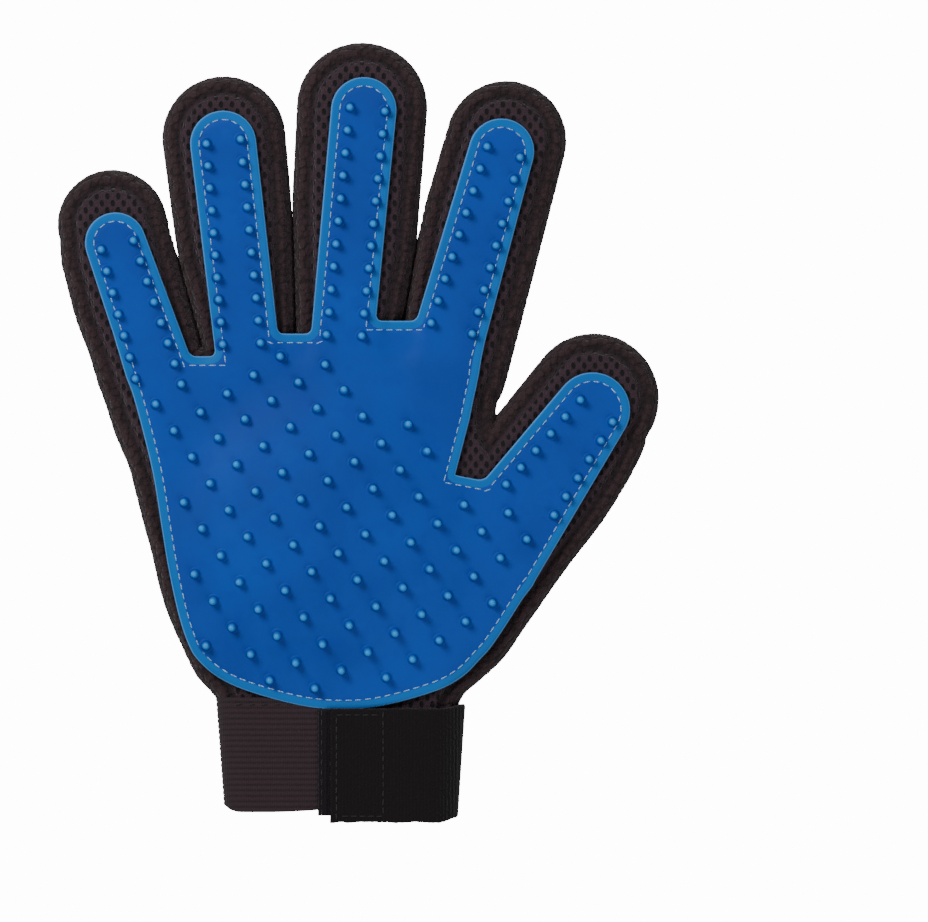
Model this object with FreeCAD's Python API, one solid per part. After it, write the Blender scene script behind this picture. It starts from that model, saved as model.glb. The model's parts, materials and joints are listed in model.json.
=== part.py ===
"""Grooming glove: an air-mesh glove with a nubbed rubber pad sewn to its palm and a hook-and-loop cuff.

The glove lies on its back. X runs from the little finger to the thumb, Y from the cuff to the
fingertips and Z up through the palm. The origin is under the middle of the glove, on the table.
"""

import FreeCAD, Part
import math
import os

V = FreeCAD.Vector
UP = V(0, 0, 1)

# ---- driving dimensions, millimetres and degrees ----
SLAB = 18.0  # thickness of the fingers and of the palm's edge as the empty glove lies flat
WALL = 2.8  # air mesh
EDGE_R = 6.5  # rounding of the glove's outer edge, seen in section
SEAM_IN = 5.0  # how far the front seam lies inside the outline
SEAM_Z = 9.0  # the front mesh panel is the part of the shell above this height
PAD = 2.0  # rubber sheet
DOME_C = (-10.0, -28.0)  # middle of the palm's crown
DOME_BASE_R = 44.0
DOME_H = 5.5
FIT = 0.05  # air between curved layers that lie on each other
JOINT_GAP = 0.5  # between two links of a finger, along the finger
RUN_IN = 14.0  # how far a finger's cavity runs into the palm

NUB_BASE_R = 1.4
NUB_TIP_R = 0.85
NUB_H = 3.6
NUB_SINK = 0.6
PALM_NUB_PITCH = 9.85
PALM_NUB_TURN = 35.0  # the palm's square grid of nubs is turned by this much
PALM_NUB_ORIGIN = (-6.4, -0.9)
PALM_NUB_MARGIN = 5.2  # from the pad's edge to the nearest nub of the grid
NUB_LINE_ROOM = 2.0  # a nub of the grid stands at least this far from the knuckle line
NUB_ROOM = 5.5  # from a nub of the grid to a finger's columns

STITCH_PITCH = 3.0
STITCH_LONG = 2.1
STITCH_WIDE = 0.6
STITCH_HIGH = 0.35
STITCH_IN = 2.8  # from the pad's edge to its stitching

# The four fingers bend on one line across the hand, and then on lines parallel to it. The thumb
# bends on lines across itself.
KNUCKLE_Y = 25.0

# Each finger: the direction in which it is bent, from +Y towards +X; a point of its knuckle line;
# distance from there to its middle joint; width at the knuckle line, to the little-finger side
# and to the thumb side of that point; fingertip circle; the same for the rubber pad; how far the
# pad's web reaches past the knuckle on each side; and its two columns of nubs, each with its
# first place, its last place and their number.
FINGERS = {
    "pinky": dict(bend=0.0, knuckle=(-62.0, KNUCKLE_Y), middle=19.4, left=21.0, right=12.4,
                  tip=(-74.7, 63.7), tip_r=16.6, pad_left=11.6, pad_right=12.8,
                  pad_tip=(-73.5, 57.9), pad_tip_r=9.3, webs=(0, 0),
                  columns=(((-67.4, 16.5), (-77.8, 55.8), 7), ((-53.4, 14.9), (-68.0, 58.6), 8))),
    "ring": dict(bend=0.0, knuckle=(-34.0, KNUCKLE_Y), middle=32.4, left=13.0, right=15.1,
                 tip=(-40.6, 90.0), tip_r=18.7, pad_left=10.6, pad_right=9.6,
                 pad_tip=(-40.7, 88.1), pad_tip_r=10.0, webs=(0, 5.2),
                 columns=(((-40.9, 27.0), (-45.8, 88.1), 10), ((-29.3, 27.4), (-35.4, 89.4), 10))),
    "middle": dict(bend=0.0, knuckle=(-4.0, KNUCKLE_Y), middle=35.5, left=14.3, right=16.8,
                   tip=(1.5, 99.0), tip_r=19.8, pad_left=9.6, pad_right=11.0,
                   pad_tip=(2.1, 98.4), pad_tip_r=10.0, webs=(5.2, 9.0),
                   columns=(((-9.2, 29.9), (-2.1, 99.1), 11), ((1.5, 29.6), (8.5, 97.9), 11))),
    "index": dict(bend=0.0, knuckle=(28.0, KNUCKLE_Y), middle=37.0, left=13.4, right=18.4,
                  tip=(45.5, 89.1), tip_r=18.2, pad_left=11.4, pad_right=10.7,
                  pad_tip=(44.0, 85.8), pad_tip_r=10.0, webs=(9.0, 0),
                  columns=(((22.6, 33.5), (39.6, 87.2), 9), ((35.1, 30.2), (49.7, 83.9), 9))),
    "thumb": dict(bend=36.8, knuckle=(49.7, -22.3), middle=20.2, left=18.0, right=21.5,
                  tip=(71.6, 10.5), tip_r=19.9, pad_left=14.4, pad_right=14.4,
                  pad_tip=(71.7, 7.0), pad_tip_r=11.8, webs=(0, 0),
                  columns=(((45.4, -15.6), (68.0, 10.1), 6), ((60.1, -25.0), (77.8, 3.4), 6))),
}

# Side lines of the palm, from the cuff upwards.
LEFT_SIDE = [(-42.5, -81.0), (-49.5, -73.5), (-57.6, -55.5), (-64.0, -32.0), (-69.8, -10.0)]
RIGHT_SIDE = [(32.5, -81.0), (44.5, -69.5), (55.5, -53.0)]
WEB_SIDE = [(42.8, 5.0)]  # between the index finger and the thumb
PAD_SIDE = [(-64.0, -5.0), (-58.6, -33.0), (-53.0, -60.0), (-37.5, -76.6), (-5.0, -83.2),
            (27.5, -76.8), (44.0, -60.0)]
PAD_WEB = [(31.0, -9.0), (31.2, -12.8)]

# Cuff: a flattened loop round the glove's hem.
HEM_X = (-41.6, 30.6)
HEM_Z = (3.0, 16.4)
HEM_END = -89.0
HEM_WALL = 2.2
ELASTIC = 1.4
ELASTIC_Y = (-115.6, -81.1)
ELASTIC_FRONT_X = 4.0  # its front end, under the strap
ELASTIC_BACK_X = 20.0
STRAP = 1.5
STRAP_Y = (-118.8, -83.6)
STRAP_FREE_X = -8.2
STRAP_BACK_X = -5.0
STRAP_RIGHT_X = 33.0
STRAP_HINGE_X = 22.0
TAPE = 0.8  # thickness of the hook tape and of the loop tape
TAPE_GAP = 0.1
LOOP_TAPE_X = (-11.9, 3.0)
LOOP_TAPE_Y = (-116.5, -84.0)
HOOK_TAPE_X = (-7.2, 9.0)
HOOK_TAPE_Y = (-117.6, -84.8)


# ---- plane geometry ----
def along(angle):
    """Unit vector of a direction measured from +Y towards +X."""
    a = math.radians(angle)
    return V(math.sin(a), math.cos(a), 0)


def across(angle):
    """Unit vector to the thumb side of that direction."""
    a = math.radians(angle)
    return V(math.cos(a), -math.sin(a), 0)


def flat(point, z=0.0):
    return V(point[0], point[1], z)


def tangent_point(corner, centre, radius, side):
    """Where the line from corner touches the circle; side is +1 on the thumb side, else -1."""
    offset = corner - centre
    turn = math.acos(radius / offset.Length) * side
    a = math.atan2(offset.y, offset.x) + turn
    return centre + V(radius * math.cos(a), radius * math.sin(a), 0)


def strip_face(left, right, centre, radius):
    """Face bounded by a root line, two straight sides and the round end that they touch."""
    touch_left = tangent_point(left, centre, radius, -1)
    touch_right = tangent_point(right, centre, radius, 1)
    top = centre + (centre - (left + right) * 0.5).normalize() * radius
    edges = [
        Part.LineSegment(left, touch_left).toShape(),
        Part.Arc(touch_left, top, touch_right).toShape(),
        Part.LineSegment(touch_right, right).toShape(),
        Part.LineSegment(right, left).toShape(),
    ]
    return Part.Face(Part.Wire(edges))


def inset_face(face, distance):
    """The face with its outline moved inwards, its curves drawn again through points."""
    edges = []
    for e in Part.sortEdges(face.makeOffset2D(-distance).Edges)[0]:
        plain = e.Curve.TypeId in ("Part::GeomLine", "Part::GeomCircle")
        edges.append(e if plain else spline_edge(e.discretize(14)))
    return Part.Face(Part.Wire(edges))


def strip_corners(f, left_key, right_key, centre, radius, inset, extend):
    """Root corners of a strip whose sides touch its tip circle, run on past the knuckle."""
    v = across(f["bend"])
    knuckle = flat(f["knuckle"])
    corners = []
    for side, width in ((-1, f[left_key]), (1, f[right_key])):
        corner = knuckle + v * (side * width)
        run = (corner - tangent_point(corner, centre, radius, side)).normalize()
        corners.append(corner + run * extend - v * (side * inset))
    return corners


def finger_strip(f, inset, extend):
    """A finger's outline, inset by that much and run on below the knuckle by extend."""
    tip = flat(f["tip"])
    left, right = strip_corners(f, "left", "right", tip, f["tip_r"], inset, extend)
    return strip_face(left, right, tip, f["tip_r"] - inset)


def pad_strip(f, inset):
    tip = flat(f["pad_tip"])
    left, right = strip_corners(f, "pad_left", "pad_right", tip, f["pad_tip_r"], inset, RUN_IN)
    return strip_face(left, right, tip, f["pad_tip_r"] - inset)


def spline_edge(points):
    curve = Part.BSplineCurve()
    curve.interpolate(points)
    return curve.toShape()


def knuckle_corners(f, left_key, right_key):
    """The two ends of a knuckle line on the palm's side of the joint."""
    v = across(f["bend"])
    middle = flat(f["knuckle"]) - along(f["bend"]) * (JOINT_GAP / 2)
    return middle - v * f[left_key], middle + v * f[right_key]


def palm_face():
    """The palm's outline: side lines, knuckle lines and the web beside the thumb."""
    first = knuckle_corners(FINGERS["pinky"], "left", "right")[0]
    last = knuckle_corners(FINGERS["index"], "left", "right")[1]
    thumb = knuckle_corners(FINGERS["thumb"], "left", "right")
    left_side = [flat(p) for p in LEFT_SIDE] + [first]
    right_side = [flat(p) for p in RIGHT_SIDE] + [thumb[1]]
    row = [first, last] + [flat(p) for p in WEB_SIDE] + list(thumb)
    edges = [spline_edge(left_side)]
    edges += [Part.LineSegment(a, b).toShape() for a, b in zip(row, row[1:])]
    edges.append(spline_edge(right_side[::-1]))
    edges.append(Part.LineSegment(right_side[0], left_side[0]).toShape())
    return Part.Face(Part.Wire(edges))


def palm_pad_face(inset=0.0):
    """The palm part of the rubber pad, up to the knuckle lines."""
    first = knuckle_corners(FINGERS["pinky"], "pad_left", "pad_right")[0]
    last = knuckle_corners(FINGERS["index"], "pad_left", "pad_right")[1]
    thumb = knuckle_corners(FINGERS["thumb"], "pad_left", "pad_right")
    row = [first, last] + [flat(p) for p in PAD_WEB] + list(thumb)
    side = [thumb[1]] + [flat(p) for p in PAD_SIDE[::-1]] + [first]
    edges = [Part.LineSegment(a, b).toShape() for a, b in zip(row, row[1:])]
    edges.append(spline_edge(side))
    face = Part.Face(Part.Wire(edges))
    return inset_face(face, inset) if inset else face


# ---- solids ----
def raise_face(face, low, high):
    placed = face.copy()
    placed.translate(V(0, 0, low))
    return placed.extrude(V(0, 0, high - low))


def rounded(solid, radius, keep_sharp):
    """Rounds a slab's upper and lower edges, apart from those that keep_sharp names."""
    box = solid.BoundBox
    edges = []
    for e in solid.Edges:
        z = e.BoundBox
        level = abs(z.ZMax - z.ZMin) < 1e-6
        outer = min(abs(z.ZMin - box.ZMin), abs(z.ZMax - box.ZMax)) < 1e-6
        if level and outer and not keep_sharp(e):
            edges.append(e)
    return solid.makeFillet(radius, edges)


def straight_root(f, extend):
    """True for the root line of a finger strip."""
    u = along(f["bend"])
    root = flat(f["knuckle"]).dot(u) - extend + 4

    def test(e):
        return max(v.Point.dot(u) for v in e.Vertexes) < root
    return test


def finger_slab(f, inset, extend):
    solid = raise_face(finger_strip(f, inset, extend), inset, SLAB - inset)
    return rounded(solid, EDGE_R - inset, straight_root(f, extend))


def between(f, low, high):
    """A block across a finger, from low to high along its bend, measured from the knuckle."""
    wide = 120.0
    block = Part.makeBox(wide, high - low, 60.0, V(-wide / 2, 0, -10))
    block.rotate(V(0, 0, 0), UP, -f["bend"])
    block.translate(flat(f["knuckle"]) + along(f["bend"]) * low)
    return block


def dome_radius():
    return (DOME_BASE_R ** 2 + DOME_H ** 2) / (2 * DOME_H)


def dome_centre():
    return V(DOME_C[0], DOME_C[1], SLAB + DOME_H - dome_radius())


def crown(rise, low):
    """The part above low of the ball that crowns the palm, grown by rise."""
    radius = dome_radius() + rise
    centre = dome_centre()
    drop = centre.z + radius - low
    half = math.acos(1 - drop / radius)
    rim = V(radius * math.sin(half), 0, low - centre.z)
    mid = V(radius * math.sin(half / 2), 0, radius * math.cos(half / 2))
    top = V(0, 0, radius)
    foot = V(0, 0, low - centre.z)
    wire = Part.Wire([
        Part.Arc(top, mid, rim).toShape(),
        Part.LineSegment(rim, foot).toShape(),
        Part.LineSegment(foot, top).toShape(),
    ])
    cap = Part.Face(wire).revolve(V(0, 0, 0), UP, 360)
    cap.rotate(V(0, 0, 0), UP, 140)
    cap.translate(centre)
    return cap


def tube_block(x0, x1, z0, z1, inset, y0, y1):
    """A flattened rod along Y, inset all round from the size given."""
    block = Part.makeBox(x1 - x0 - 2 * inset, y1 - y0, z1 - z0 - 2 * inset,
                         V(x0 + inset, y0, z0 + inset))
    along_y = [e for e in block.Edges if abs(e.tangentAt(0).y) > 0.9]
    return block.makeFillet((z1 - z0) / 2 - inset - 0.02, along_y)


def hem(inset, end, start):
    """The tube that the cuff bands are sewn round."""
    return tube_block(*HEM_X, *HEM_Z, inset, end, start)


def palm_shell():
    """The palm's mesh: hollow, open into the fingers and out through the hem."""
    face = palm_face()
    web = flat(WEB_SIDE[0])

    def sharp(e):
        is_side = e.Curve.TypeId == "Part::GeomBSplineCurve"
        at_web = any((V(v.Point.x, v.Point.y, 0) - web).Length < 0.01 for v in e.Vertexes)
        return not (is_side or at_web)
    outer = rounded(raise_face(face, 0, SLAB), EDGE_R, sharp)
    outer = outer.fuse([crown(0, SLAB - 1), hem(0, HEM_END, -75.0)])
    inner_face = inset_face(face, WALL)
    # The palm's cavity is a little higher than the fingers', so that no faces of theirs coincide.
    low = WALL - FIT
    high = SLAB - WALL + FIT
    inner_crown = crown(-WALL, high - 1).common(raise_face(inner_face, WALL, 40))
    cavity = raise_face(inner_face, low, high).fuse(inner_crown)
    shell = outer.cut(cavity)
    for f in FINGERS.values():
        shell = shell.cut(finger_slab(f, WALL, RUN_IN))
    return shell.cut(hem(HEM_WALL, HEM_END - 1, -74.0))


def nub(place, normal):
    """One moulded nub: a cone with a round tip, standing on place."""
    cone_top = NUB_H - NUB_TIP_R
    base = V(NUB_BASE_R, 0, -NUB_SINK)
    shoulder = V(NUB_TIP_R, 0, cone_top)
    bend = V(NUB_TIP_R * math.sin(math.pi / 4), 0, cone_top + NUB_TIP_R * math.cos(math.pi / 4))
    peak = V(0, 0, NUB_H)
    foot = V(0, 0, -NUB_SINK)
    wire = Part.Wire([
        Part.LineSegment(foot, base).toShape(),
        Part.LineSegment(base, shoulder).toShape(),
        Part.Arc(shoulder, bend, peak).toShape(),
        Part.LineSegment(peak, foot).toShape(),
    ])
    shape = Part.Face(wire).revolve(V(0, 0, 0), UP, 360)
    shape.Placement = FreeCAD.Placement(place, FreeCAD.Rotation(UP, normal))
    return shape


def column_places(f):
    """(distance past the knuckle line, x, y) of each nub in a finger's two columns."""
    u = along(f["bend"])
    start = flat(f["knuckle"]).dot(u)
    made = []
    for first, last, count in f["columns"]:
        for k in range(count):
            t = k / (count - 1)
            place = flat(first) * (1 - t) + flat(last) * t
            made.append((place.dot(u) - start, place.x, place.y))
    return made


def palm_height(x, y):
    """Place on the pad's face above x, y on the palm, and its normal."""
    centre = dome_centre()
    radius = dome_radius() + PAD
    rise = radius ** 2 - (x - centre.x) ** 2 - (y - centre.y) ** 2
    place = V(x, y, centre.z + math.sqrt(rise))
    if place.z < SLAB + PAD:
        return V(x, y, SLAB + PAD), UP
    return place, (place - centre).normalize()


def palm_nubs(edge_face):
    """The palm's nubs: a turned square grid, kept clear of the pad's edge."""
    made = []
    columns = [p for f in FINGERS.values() for p in column_places(f)]
    for s, x, y in columns:
        if s < 0:
            made.append(nub(*palm_height(x, y)))
    a = math.radians(PALM_NUB_TURN)
    room = inset_face(edge_face, PALM_NUB_MARGIN)
    for i in range(-12, 13):
        for j in range(-12, 13):
            x = PALM_NUB_ORIGIN[0] + PALM_NUB_PITCH * (i * math.cos(a) + j * math.sin(a))
            y = PALM_NUB_ORIGIN[1] + PALM_NUB_PITCH * (i * math.sin(a) - j * math.cos(a))
            inside = room.isInside(V(x, min(y, KNUCKLE_Y - PALM_NUB_MARGIN - 0.5), 0), 0.01, True)
            near = min(math.hypot(x - cx, y - cy) for s, cx, cy in columns)
            if inside and y < KNUCKLE_Y + 1 and near > NUB_ROOM:
                made.append(nub(*palm_height(x, min(y, KNUCKLE_Y - NUB_LINE_ROOM))))
    return made


def clear_of(place, direction, spots):
    """True where a stitch at place meets none of the nubs that stand on spots."""
    for x, y in spots:
        offset = V(x, y, 0) - V(place.x, place.y, 0)
        reach = max(-STITCH_LONG / 2, min(STITCH_LONG / 2, offset.dot(direction)))
        if (offset - direction * reach).Length < NUB_BASE_R + STITCH_WIDE / 2 + FIT:
            return False
    return True


def stitches_along(edges, height_at, spots=()):
    """Short bars of thread, one after another along a chain of edges."""
    bars = []
    for e in edges:
        count = max(1, int(e.Length / STITCH_PITCH))
        step = e.Length / count
        for k in range(count):
            q = e.getParameterByLength(step * (k + 0.5))
            p = e.valueAt(q)
            t = e.tangentAt(q)
            if not clear_of(p, t, spots):
                continue
            place, normal = height_at(p.x, p.y)
            bar = Part.makeBox(STITCH_LONG, STITCH_WIDE, STITCH_HIGH,
                               V(-STITCH_LONG / 2, -STITCH_WIDE / 2, 0))
            turn = FreeCAD.Rotation(V(1, 0, 0), V(t.x, t.y, 0))
            tip = FreeCAD.Rotation(UP, normal)
            bar.Placement = FreeCAD.Placement(place, tip.multiply(turn))
            bars.append(bar)
    return bars


def flat_pad_height(x, y):
    return V(x, y, SLAB + PAD), UP


def save(name, shape):
    solids = shape.Solids
    for s in solids:
        if not s.isValid() or s.Volume <= 0:
            print("check", name, "valid", s.isValid(), "volume", round(s.Volume, 2))
    out = solids[0] if len(solids) == 1 else Part.makeCompound(solids)
    out.exportStep("parts/" + name + ".step")
    print(name, len(solids), "solids", round(sum(s.Volume for s in solids)), "mm3")


def split_shell(shell, seam):
    """The front mesh panel, inside the seam, and the back mesh panel, which is all the rest."""
    block = raise_face(seam, SEAM_Z, 60)
    return shell.common(block), shell.cut(block)


def web_blocks(f):
    """The pad's webs beside a finger's root."""
    v = across(f["bend"])
    blocks = []
    for side, reach in zip((-1, 1), f["webs"]):
        if reach:
            block = between(f, 0, reach)
            block.translate(v * (side * 60))
            blocks.append(block.common(raise_face(finger_strip(f, 0, RUN_IN), SLAB, SLAB + PAD)))
    return blocks


def thread_edges(f):
    """The two sides and the end of a finger's stitching."""
    edges = pad_strip(f, STITCH_IN).Wires[0].Edges
    u = along(f["bend"])
    return sorted(edges, key=lambda e: e.CenterOfMass.dot(u))[1:]


def make_finger(name, f):
    shell = finger_slab(f, 0, RUN_IN).cut(finger_slab(f, WALL, RUN_IN))
    seam = finger_strip(f, SEAM_IN, RUN_IN)
    pad = raise_face(pad_strip(f, 0), SLAB, SLAB + PAD)
    webs = web_blocks(f)
    if webs:
        pad = pad.fuse(webs)
    nubs = [(s, nub(V(x, y, SLAB + PAD), UP)) for s, x, y in column_places(f)]
    spots = [(x, y) for s, x, y in column_places(f)]
    bars = stitches_along(thread_edges(f), flat_pad_height, spots)
    u = along(f["bend"])
    start = flat(f["knuckle"]).dot(u)
    gap = JOINT_GAP / 2
    for link, low, high in (("base", gap, f["middle"] - gap), ("tip", f["middle"] + gap, 120.0)):
        block = between(f, low, high)
        front, back = split_shell(shell.common(block), seam)
        rubber = pad.common(block).fuse([n for s, n in nubs if low < s < high])
        thread = [b for b in bars if low + 1 < b.CenterOfMass.dot(u) - start < high - 1]
        save("front_mesh_%s_%s" % (name, link), front)
        save("back_mesh_%s_%s" % (name, link), back)
        save("rubber_pad_%s_%s" % (name, link), rubber.removeSplitter())
        save("pad_stitching_%s_%s" % (name, link), Part.makeCompound(thread))


def make_palm():
    shell = palm_shell()
    seam = raise_face(inset_face(palm_face(), SEAM_IN), SEAM_Z, 60)
    lip = Part.makeBox(HEM_X[1] - HEM_X[0] - 12, 24, 60, V(HEM_X[0] + 6, -96.0, SEAM_Z))
    passages = [raise_face(finger_strip(f, SEAM_IN, RUN_IN), SEAM_Z, 60)
                for f in FINGERS.values()]
    seam_block = seam.fuse([lip] + passages)
    save("front_mesh_palm", shell.common(seam_block))
    save("back_mesh_palm", shell.cut(seam_block))
    edge = palm_pad_face()
    layer = raise_face(edge, SLAB, SLAB + PAD)
    cap = crown(PAD, SLAB + PAD - 1).common(raise_face(edge, SLAB, 60))
    rubber = layer.fuse(cap).cut(crown(FIT, SLAB - 1))
    save("rubber_pad_palm", rubber.fuse(palm_nubs(edge)))
    thread_edge = max(palm_pad_face(STITCH_IN).Edges, key=lambda e: e.Length)
    save("pad_stitching_palm", Part.makeCompound(stitches_along([thread_edge], palm_height)))


# ---- cuff ----
def ring(x0, x1, z0, z1, thick, y0, y1):
    """A flattened tube along Y, by its outer size."""
    outer = tube_block(x0, x1, z0, z1, 0, y0, y1)
    inner = tube_block(x0, x1, z0, z1, thick, y0 - 1, y1 + 1)
    return outer.cut(inner)


def block_between(x, y, z):
    return Part.makeBox(x[1] - x[0], y[1] - y[0], z[1] - z[0], V(x[0], y[0], z[0]))


def straight_stitches(points, z):
    """Bars of thread along a chain of points at height z."""
    edges = [Part.LineSegment(V(*a, 0), V(*b, 0)).toShape() for a, b in zip(points, points[1:])]
    return Part.makeCompound(stitches_along(edges, lambda x, y: (V(x, y, z), UP)))


def make_cuff():
    out = ELASTIC + FIT
    z_low = HEM_Z[0] - out
    z_front = HEM_Z[1] + out
    band = ring(HEM_X[0] - out, HEM_X[1] + out, z_low, z_front, ELASTIC, *ELASTIC_Y)
    right_front = block_between((ELASTIC_FRONT_X, 60), (-130, -70), (SEAM_Z, 40))
    right_back = block_between((ELASTIC_BACK_X, 60), (-130, -70), (-10, SEAM_Z + 0.5))
    save("wrist_elastic", band.cut(right_front).cut(right_back))
    tape_top = z_front + TAPE
    save("loop_tape", block_between(LOOP_TAPE_X, LOOP_TAPE_Y, (z_front, tape_top)))
    flap_low = tape_top + TAPE
    flap_top = flap_low + STRAP
    strap = ring(-80, STRAP_RIGHT_X, z_low - STRAP, flap_top, STRAP, *STRAP_Y)
    front_cut = block_between((-90, STRAP_HINGE_X + 0.2), (-130, -70), (SEAM_Z, 40))
    back_cut = block_between((-90, STRAP_BACK_X), (-130, -70), (-10, SEAM_Z + 0.5))
    save("closure_strap_base", strap.cut(front_cut).cut(back_cut))
    flap_x = (STRAP_FREE_X, STRAP_HINGE_X - 0.2)
    save("closure_strap_flap", block_between(flap_x, STRAP_Y, (flap_low, flap_top)))
    hook_z = (tape_top + TAPE_GAP, flap_low)
    save("hook_tape", block_between(HOOK_TAPE_X, HOOK_TAPE_Y, hook_z))
    x0, x1 = HOOK_TAPE_X
    y0, y1 = HOOK_TAPE_Y
    frame = [(x0 + 1, y0 + 1), (x0 + 1, y1 - 1), (x1 - 1, y1 - 1), (x1 - 1, y0 + 1),
             (x0 + 1, y0 + 1)]
    save("hook_tape_stitching", straight_stitches(frame, flap_top))
    x0 = LOOP_TAPE_X[0] + 1.2
    loop_row = [(x0, LOOP_TAPE_Y[0] + 1), (x0, LOOP_TAPE_Y[1] - 1)]
    save("loop_tape_stitching", straight_stitches(loop_row, tape_top))
    seam_row = [(HEM_X[0] + 8, -82.2), (-24.0, -82.2)]
    save("cuff_seam_stitching", straight_stitches(seam_row, z_front))


def main():
    os.makedirs("parts", exist_ok=True)
    for name, f in FINGERS.items():
        make_finger(name, f)
    make_palm()
    make_cuff()


main()
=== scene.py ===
"""Looks of the grooming glove: spacer mesh, moulded rubber pad, ribbed elastic and strap.

Lengths in this script are millimetres until a mesh is made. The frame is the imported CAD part's:
X from the little finger to the thumb, Y from the cuff to the fingertips, Z up out of the palm.
"""

import json
import math

import bpy
import numpy as np
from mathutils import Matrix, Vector
from mathutils.geometry import delaunay_2d_cdt


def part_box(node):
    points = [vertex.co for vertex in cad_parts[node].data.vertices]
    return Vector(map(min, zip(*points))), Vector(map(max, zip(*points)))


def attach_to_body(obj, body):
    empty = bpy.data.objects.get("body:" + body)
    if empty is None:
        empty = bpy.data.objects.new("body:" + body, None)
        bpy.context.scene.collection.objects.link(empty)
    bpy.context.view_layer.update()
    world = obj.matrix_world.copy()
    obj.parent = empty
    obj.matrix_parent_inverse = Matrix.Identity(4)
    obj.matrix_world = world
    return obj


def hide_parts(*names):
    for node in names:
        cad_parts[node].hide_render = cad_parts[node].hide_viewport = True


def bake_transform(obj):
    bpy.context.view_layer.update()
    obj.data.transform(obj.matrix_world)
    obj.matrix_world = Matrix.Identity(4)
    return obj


MM = 0.001
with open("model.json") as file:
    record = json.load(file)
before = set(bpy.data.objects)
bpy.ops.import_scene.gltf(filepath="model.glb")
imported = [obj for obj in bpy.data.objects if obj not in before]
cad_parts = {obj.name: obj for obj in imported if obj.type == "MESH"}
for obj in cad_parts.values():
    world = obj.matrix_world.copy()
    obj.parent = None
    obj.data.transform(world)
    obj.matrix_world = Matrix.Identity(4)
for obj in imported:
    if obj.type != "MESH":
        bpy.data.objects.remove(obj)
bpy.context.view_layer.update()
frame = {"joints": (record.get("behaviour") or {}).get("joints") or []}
JOINTS = {j["name"]: j for j in frame["joints"]}


def box_mm(node):
    """Lowest and highest corner of a CAD node, in millimetres."""
    low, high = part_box(node)
    return np.array(low) / MM, np.array(high) / MM


# ---- sizes ----
SLAB = box_mm("front_mesh_middle_base")[1][2]  # height of the flat of the glove
PAD = 2.0
CROWN_TOP = box_mm("front_mesh_palm")[1][2]
CROWN_PLACE = (-10.0, -28.0)
CROWN_BASE = 44.0
WALL = 2.6
EDGE_R = 8.0
GROOVE_IN = 4.7  # from the outline to the seam beside the puffed rim
STITCH_IN = 2.8  # from the pad's outline to its stitching
SIDE_Z = 9  # above this height the fabric may belong to the front panel
THUMB_ROOT, THUMB_END, WEB_REGION = 9, 10, 11
STEP = 0.55  # cell of the grid in which the mesh fabric is made
HEM_END = box_mm("back_mesh_palm")[0][1]

FINGERS = ("pinky", "ring", "middle", "index", "thumb")
# Strip of each finger: a circle in the palm and one at the fingertip, as x, y and radius.
MESH_STRIPS = {
    "pinky": ((-62.6, 20.0, 17.2), (-74.7, 63.7, 16.6)),
    "ring": ((-33.0, 20.0, 17.0), (-40.6, 90.0, 18.8)),
    "middle": ((-3.5, 20.0, 18.5), (1.5, 99.2, 19.9)),
    "index": ((26.4, 20.0, 19.5), (45.5, 89.1, 18.3)),
    "thumb": ((43.5, -29.5, 22.6), (72.1, 10.5, 19.9)),
}
PAD_STRIPS = {
    "pinky": ((-60.6, 21.0, 10.1), (-73.5, 57.9, 9.3)),
    "ring": ((-32.3, 16.0, 9.8), (-40.7, 88.1, 10.1)),
    "middle": ((-5.6, 16.0, 9.6), (2.1, 98.4, 10.0)),
    "index": ((24.3, 16.0, 11.2), (44.0, 85.8, 10.0)),
    "thumb": ((41.0, -36.2, 15.9), (71.7, 7.0, 11.5)),
}
NUB_COLUMNS = {
    "pinky": (((-67.4, 16.5), (-77.8, 55.8), 7), ((-53.4, 14.9), (-68.0, 58.6), 8)),
    "ring": (((-40.9, 27.0), (-45.8, 88.1), 10), ((-29.3, 27.4), (-35.4, 89.4), 10)),
    "middle": (((-9.2, 29.9), (-2.1, 99.1), 11), ((1.5, 29.6), (8.5, 97.9), 11)),
    "index": (((22.6, 33.5), (39.6, 87.2), 9), ((35.1, 30.2), (49.7, 83.9), 9)),
    "thumb": (((45.4, -15.6), (68.0, 10.1), 6), ((60.1, -25.0), (77.8, 3.4), 6)),
}
NUB_PITCH = 9.85
NUB_TURN = math.radians(35)
NUB_ORIGIN = (-6.4, -0.9)
NUB_H = 3.6

# The palm, with the outer sides of the little finger and of the thumb.
PALM_OUTLINE = [
    (-41.6, -104), (-41.6, -88), (-42.0, -83), (-44.4, -79), (-49.1, -73.8), (-53.6, -64.7),
    (-57.6, -55.5), (-60.4, -46.4), (-62.5, -37.2), (-65.0, -28), (-67.4, -18.9), (-69.8, -9.8),
    (-73.7, -0.6), (-77.0, 9.5), (-79.8, 17.7), (-82.1, 25), (-85.5, 34), (-88.7, 46),
    (-90.4, 54), (-89, 64), (-76, 62), (-64, 30), (-20, 28), (20, 28),
    (44, 28), (44.0, 16), (42.3, 5), (46, -3), (62, 4), (80, 7), (86.8, 2.5), (88.1, -2),
    (86.7, -6.5), (82.2, -15.3), (75.2, -26.5), (68.2, -35.6), (61.9, -43.9),
    (56.7, -51.4), (50.6, -60.1), (44.8, -68.4), (38.7, -74.4), (33.2, -79), (30.9, -83),
    (30.6, -88), (30.6, -104),
]
# The lines on which neighbouring fingers lie against each other, from the crotch outwards.
SLITS = [((-47.2, 26.5), (-55.3, 56)), ((-18.6, 26.5), (-19.9, 76)), ((13.1, 27), (19.2, 63))]
SLIT_HALF = 0.12
SLIT_SWING = 0.36  # the fingers' side walls wave by this much, so that no light falls between
WALL_ROOM = 1.0  # a finger's pieces take in this much beyond its slits
CROTCH_Y = 26.5
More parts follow.
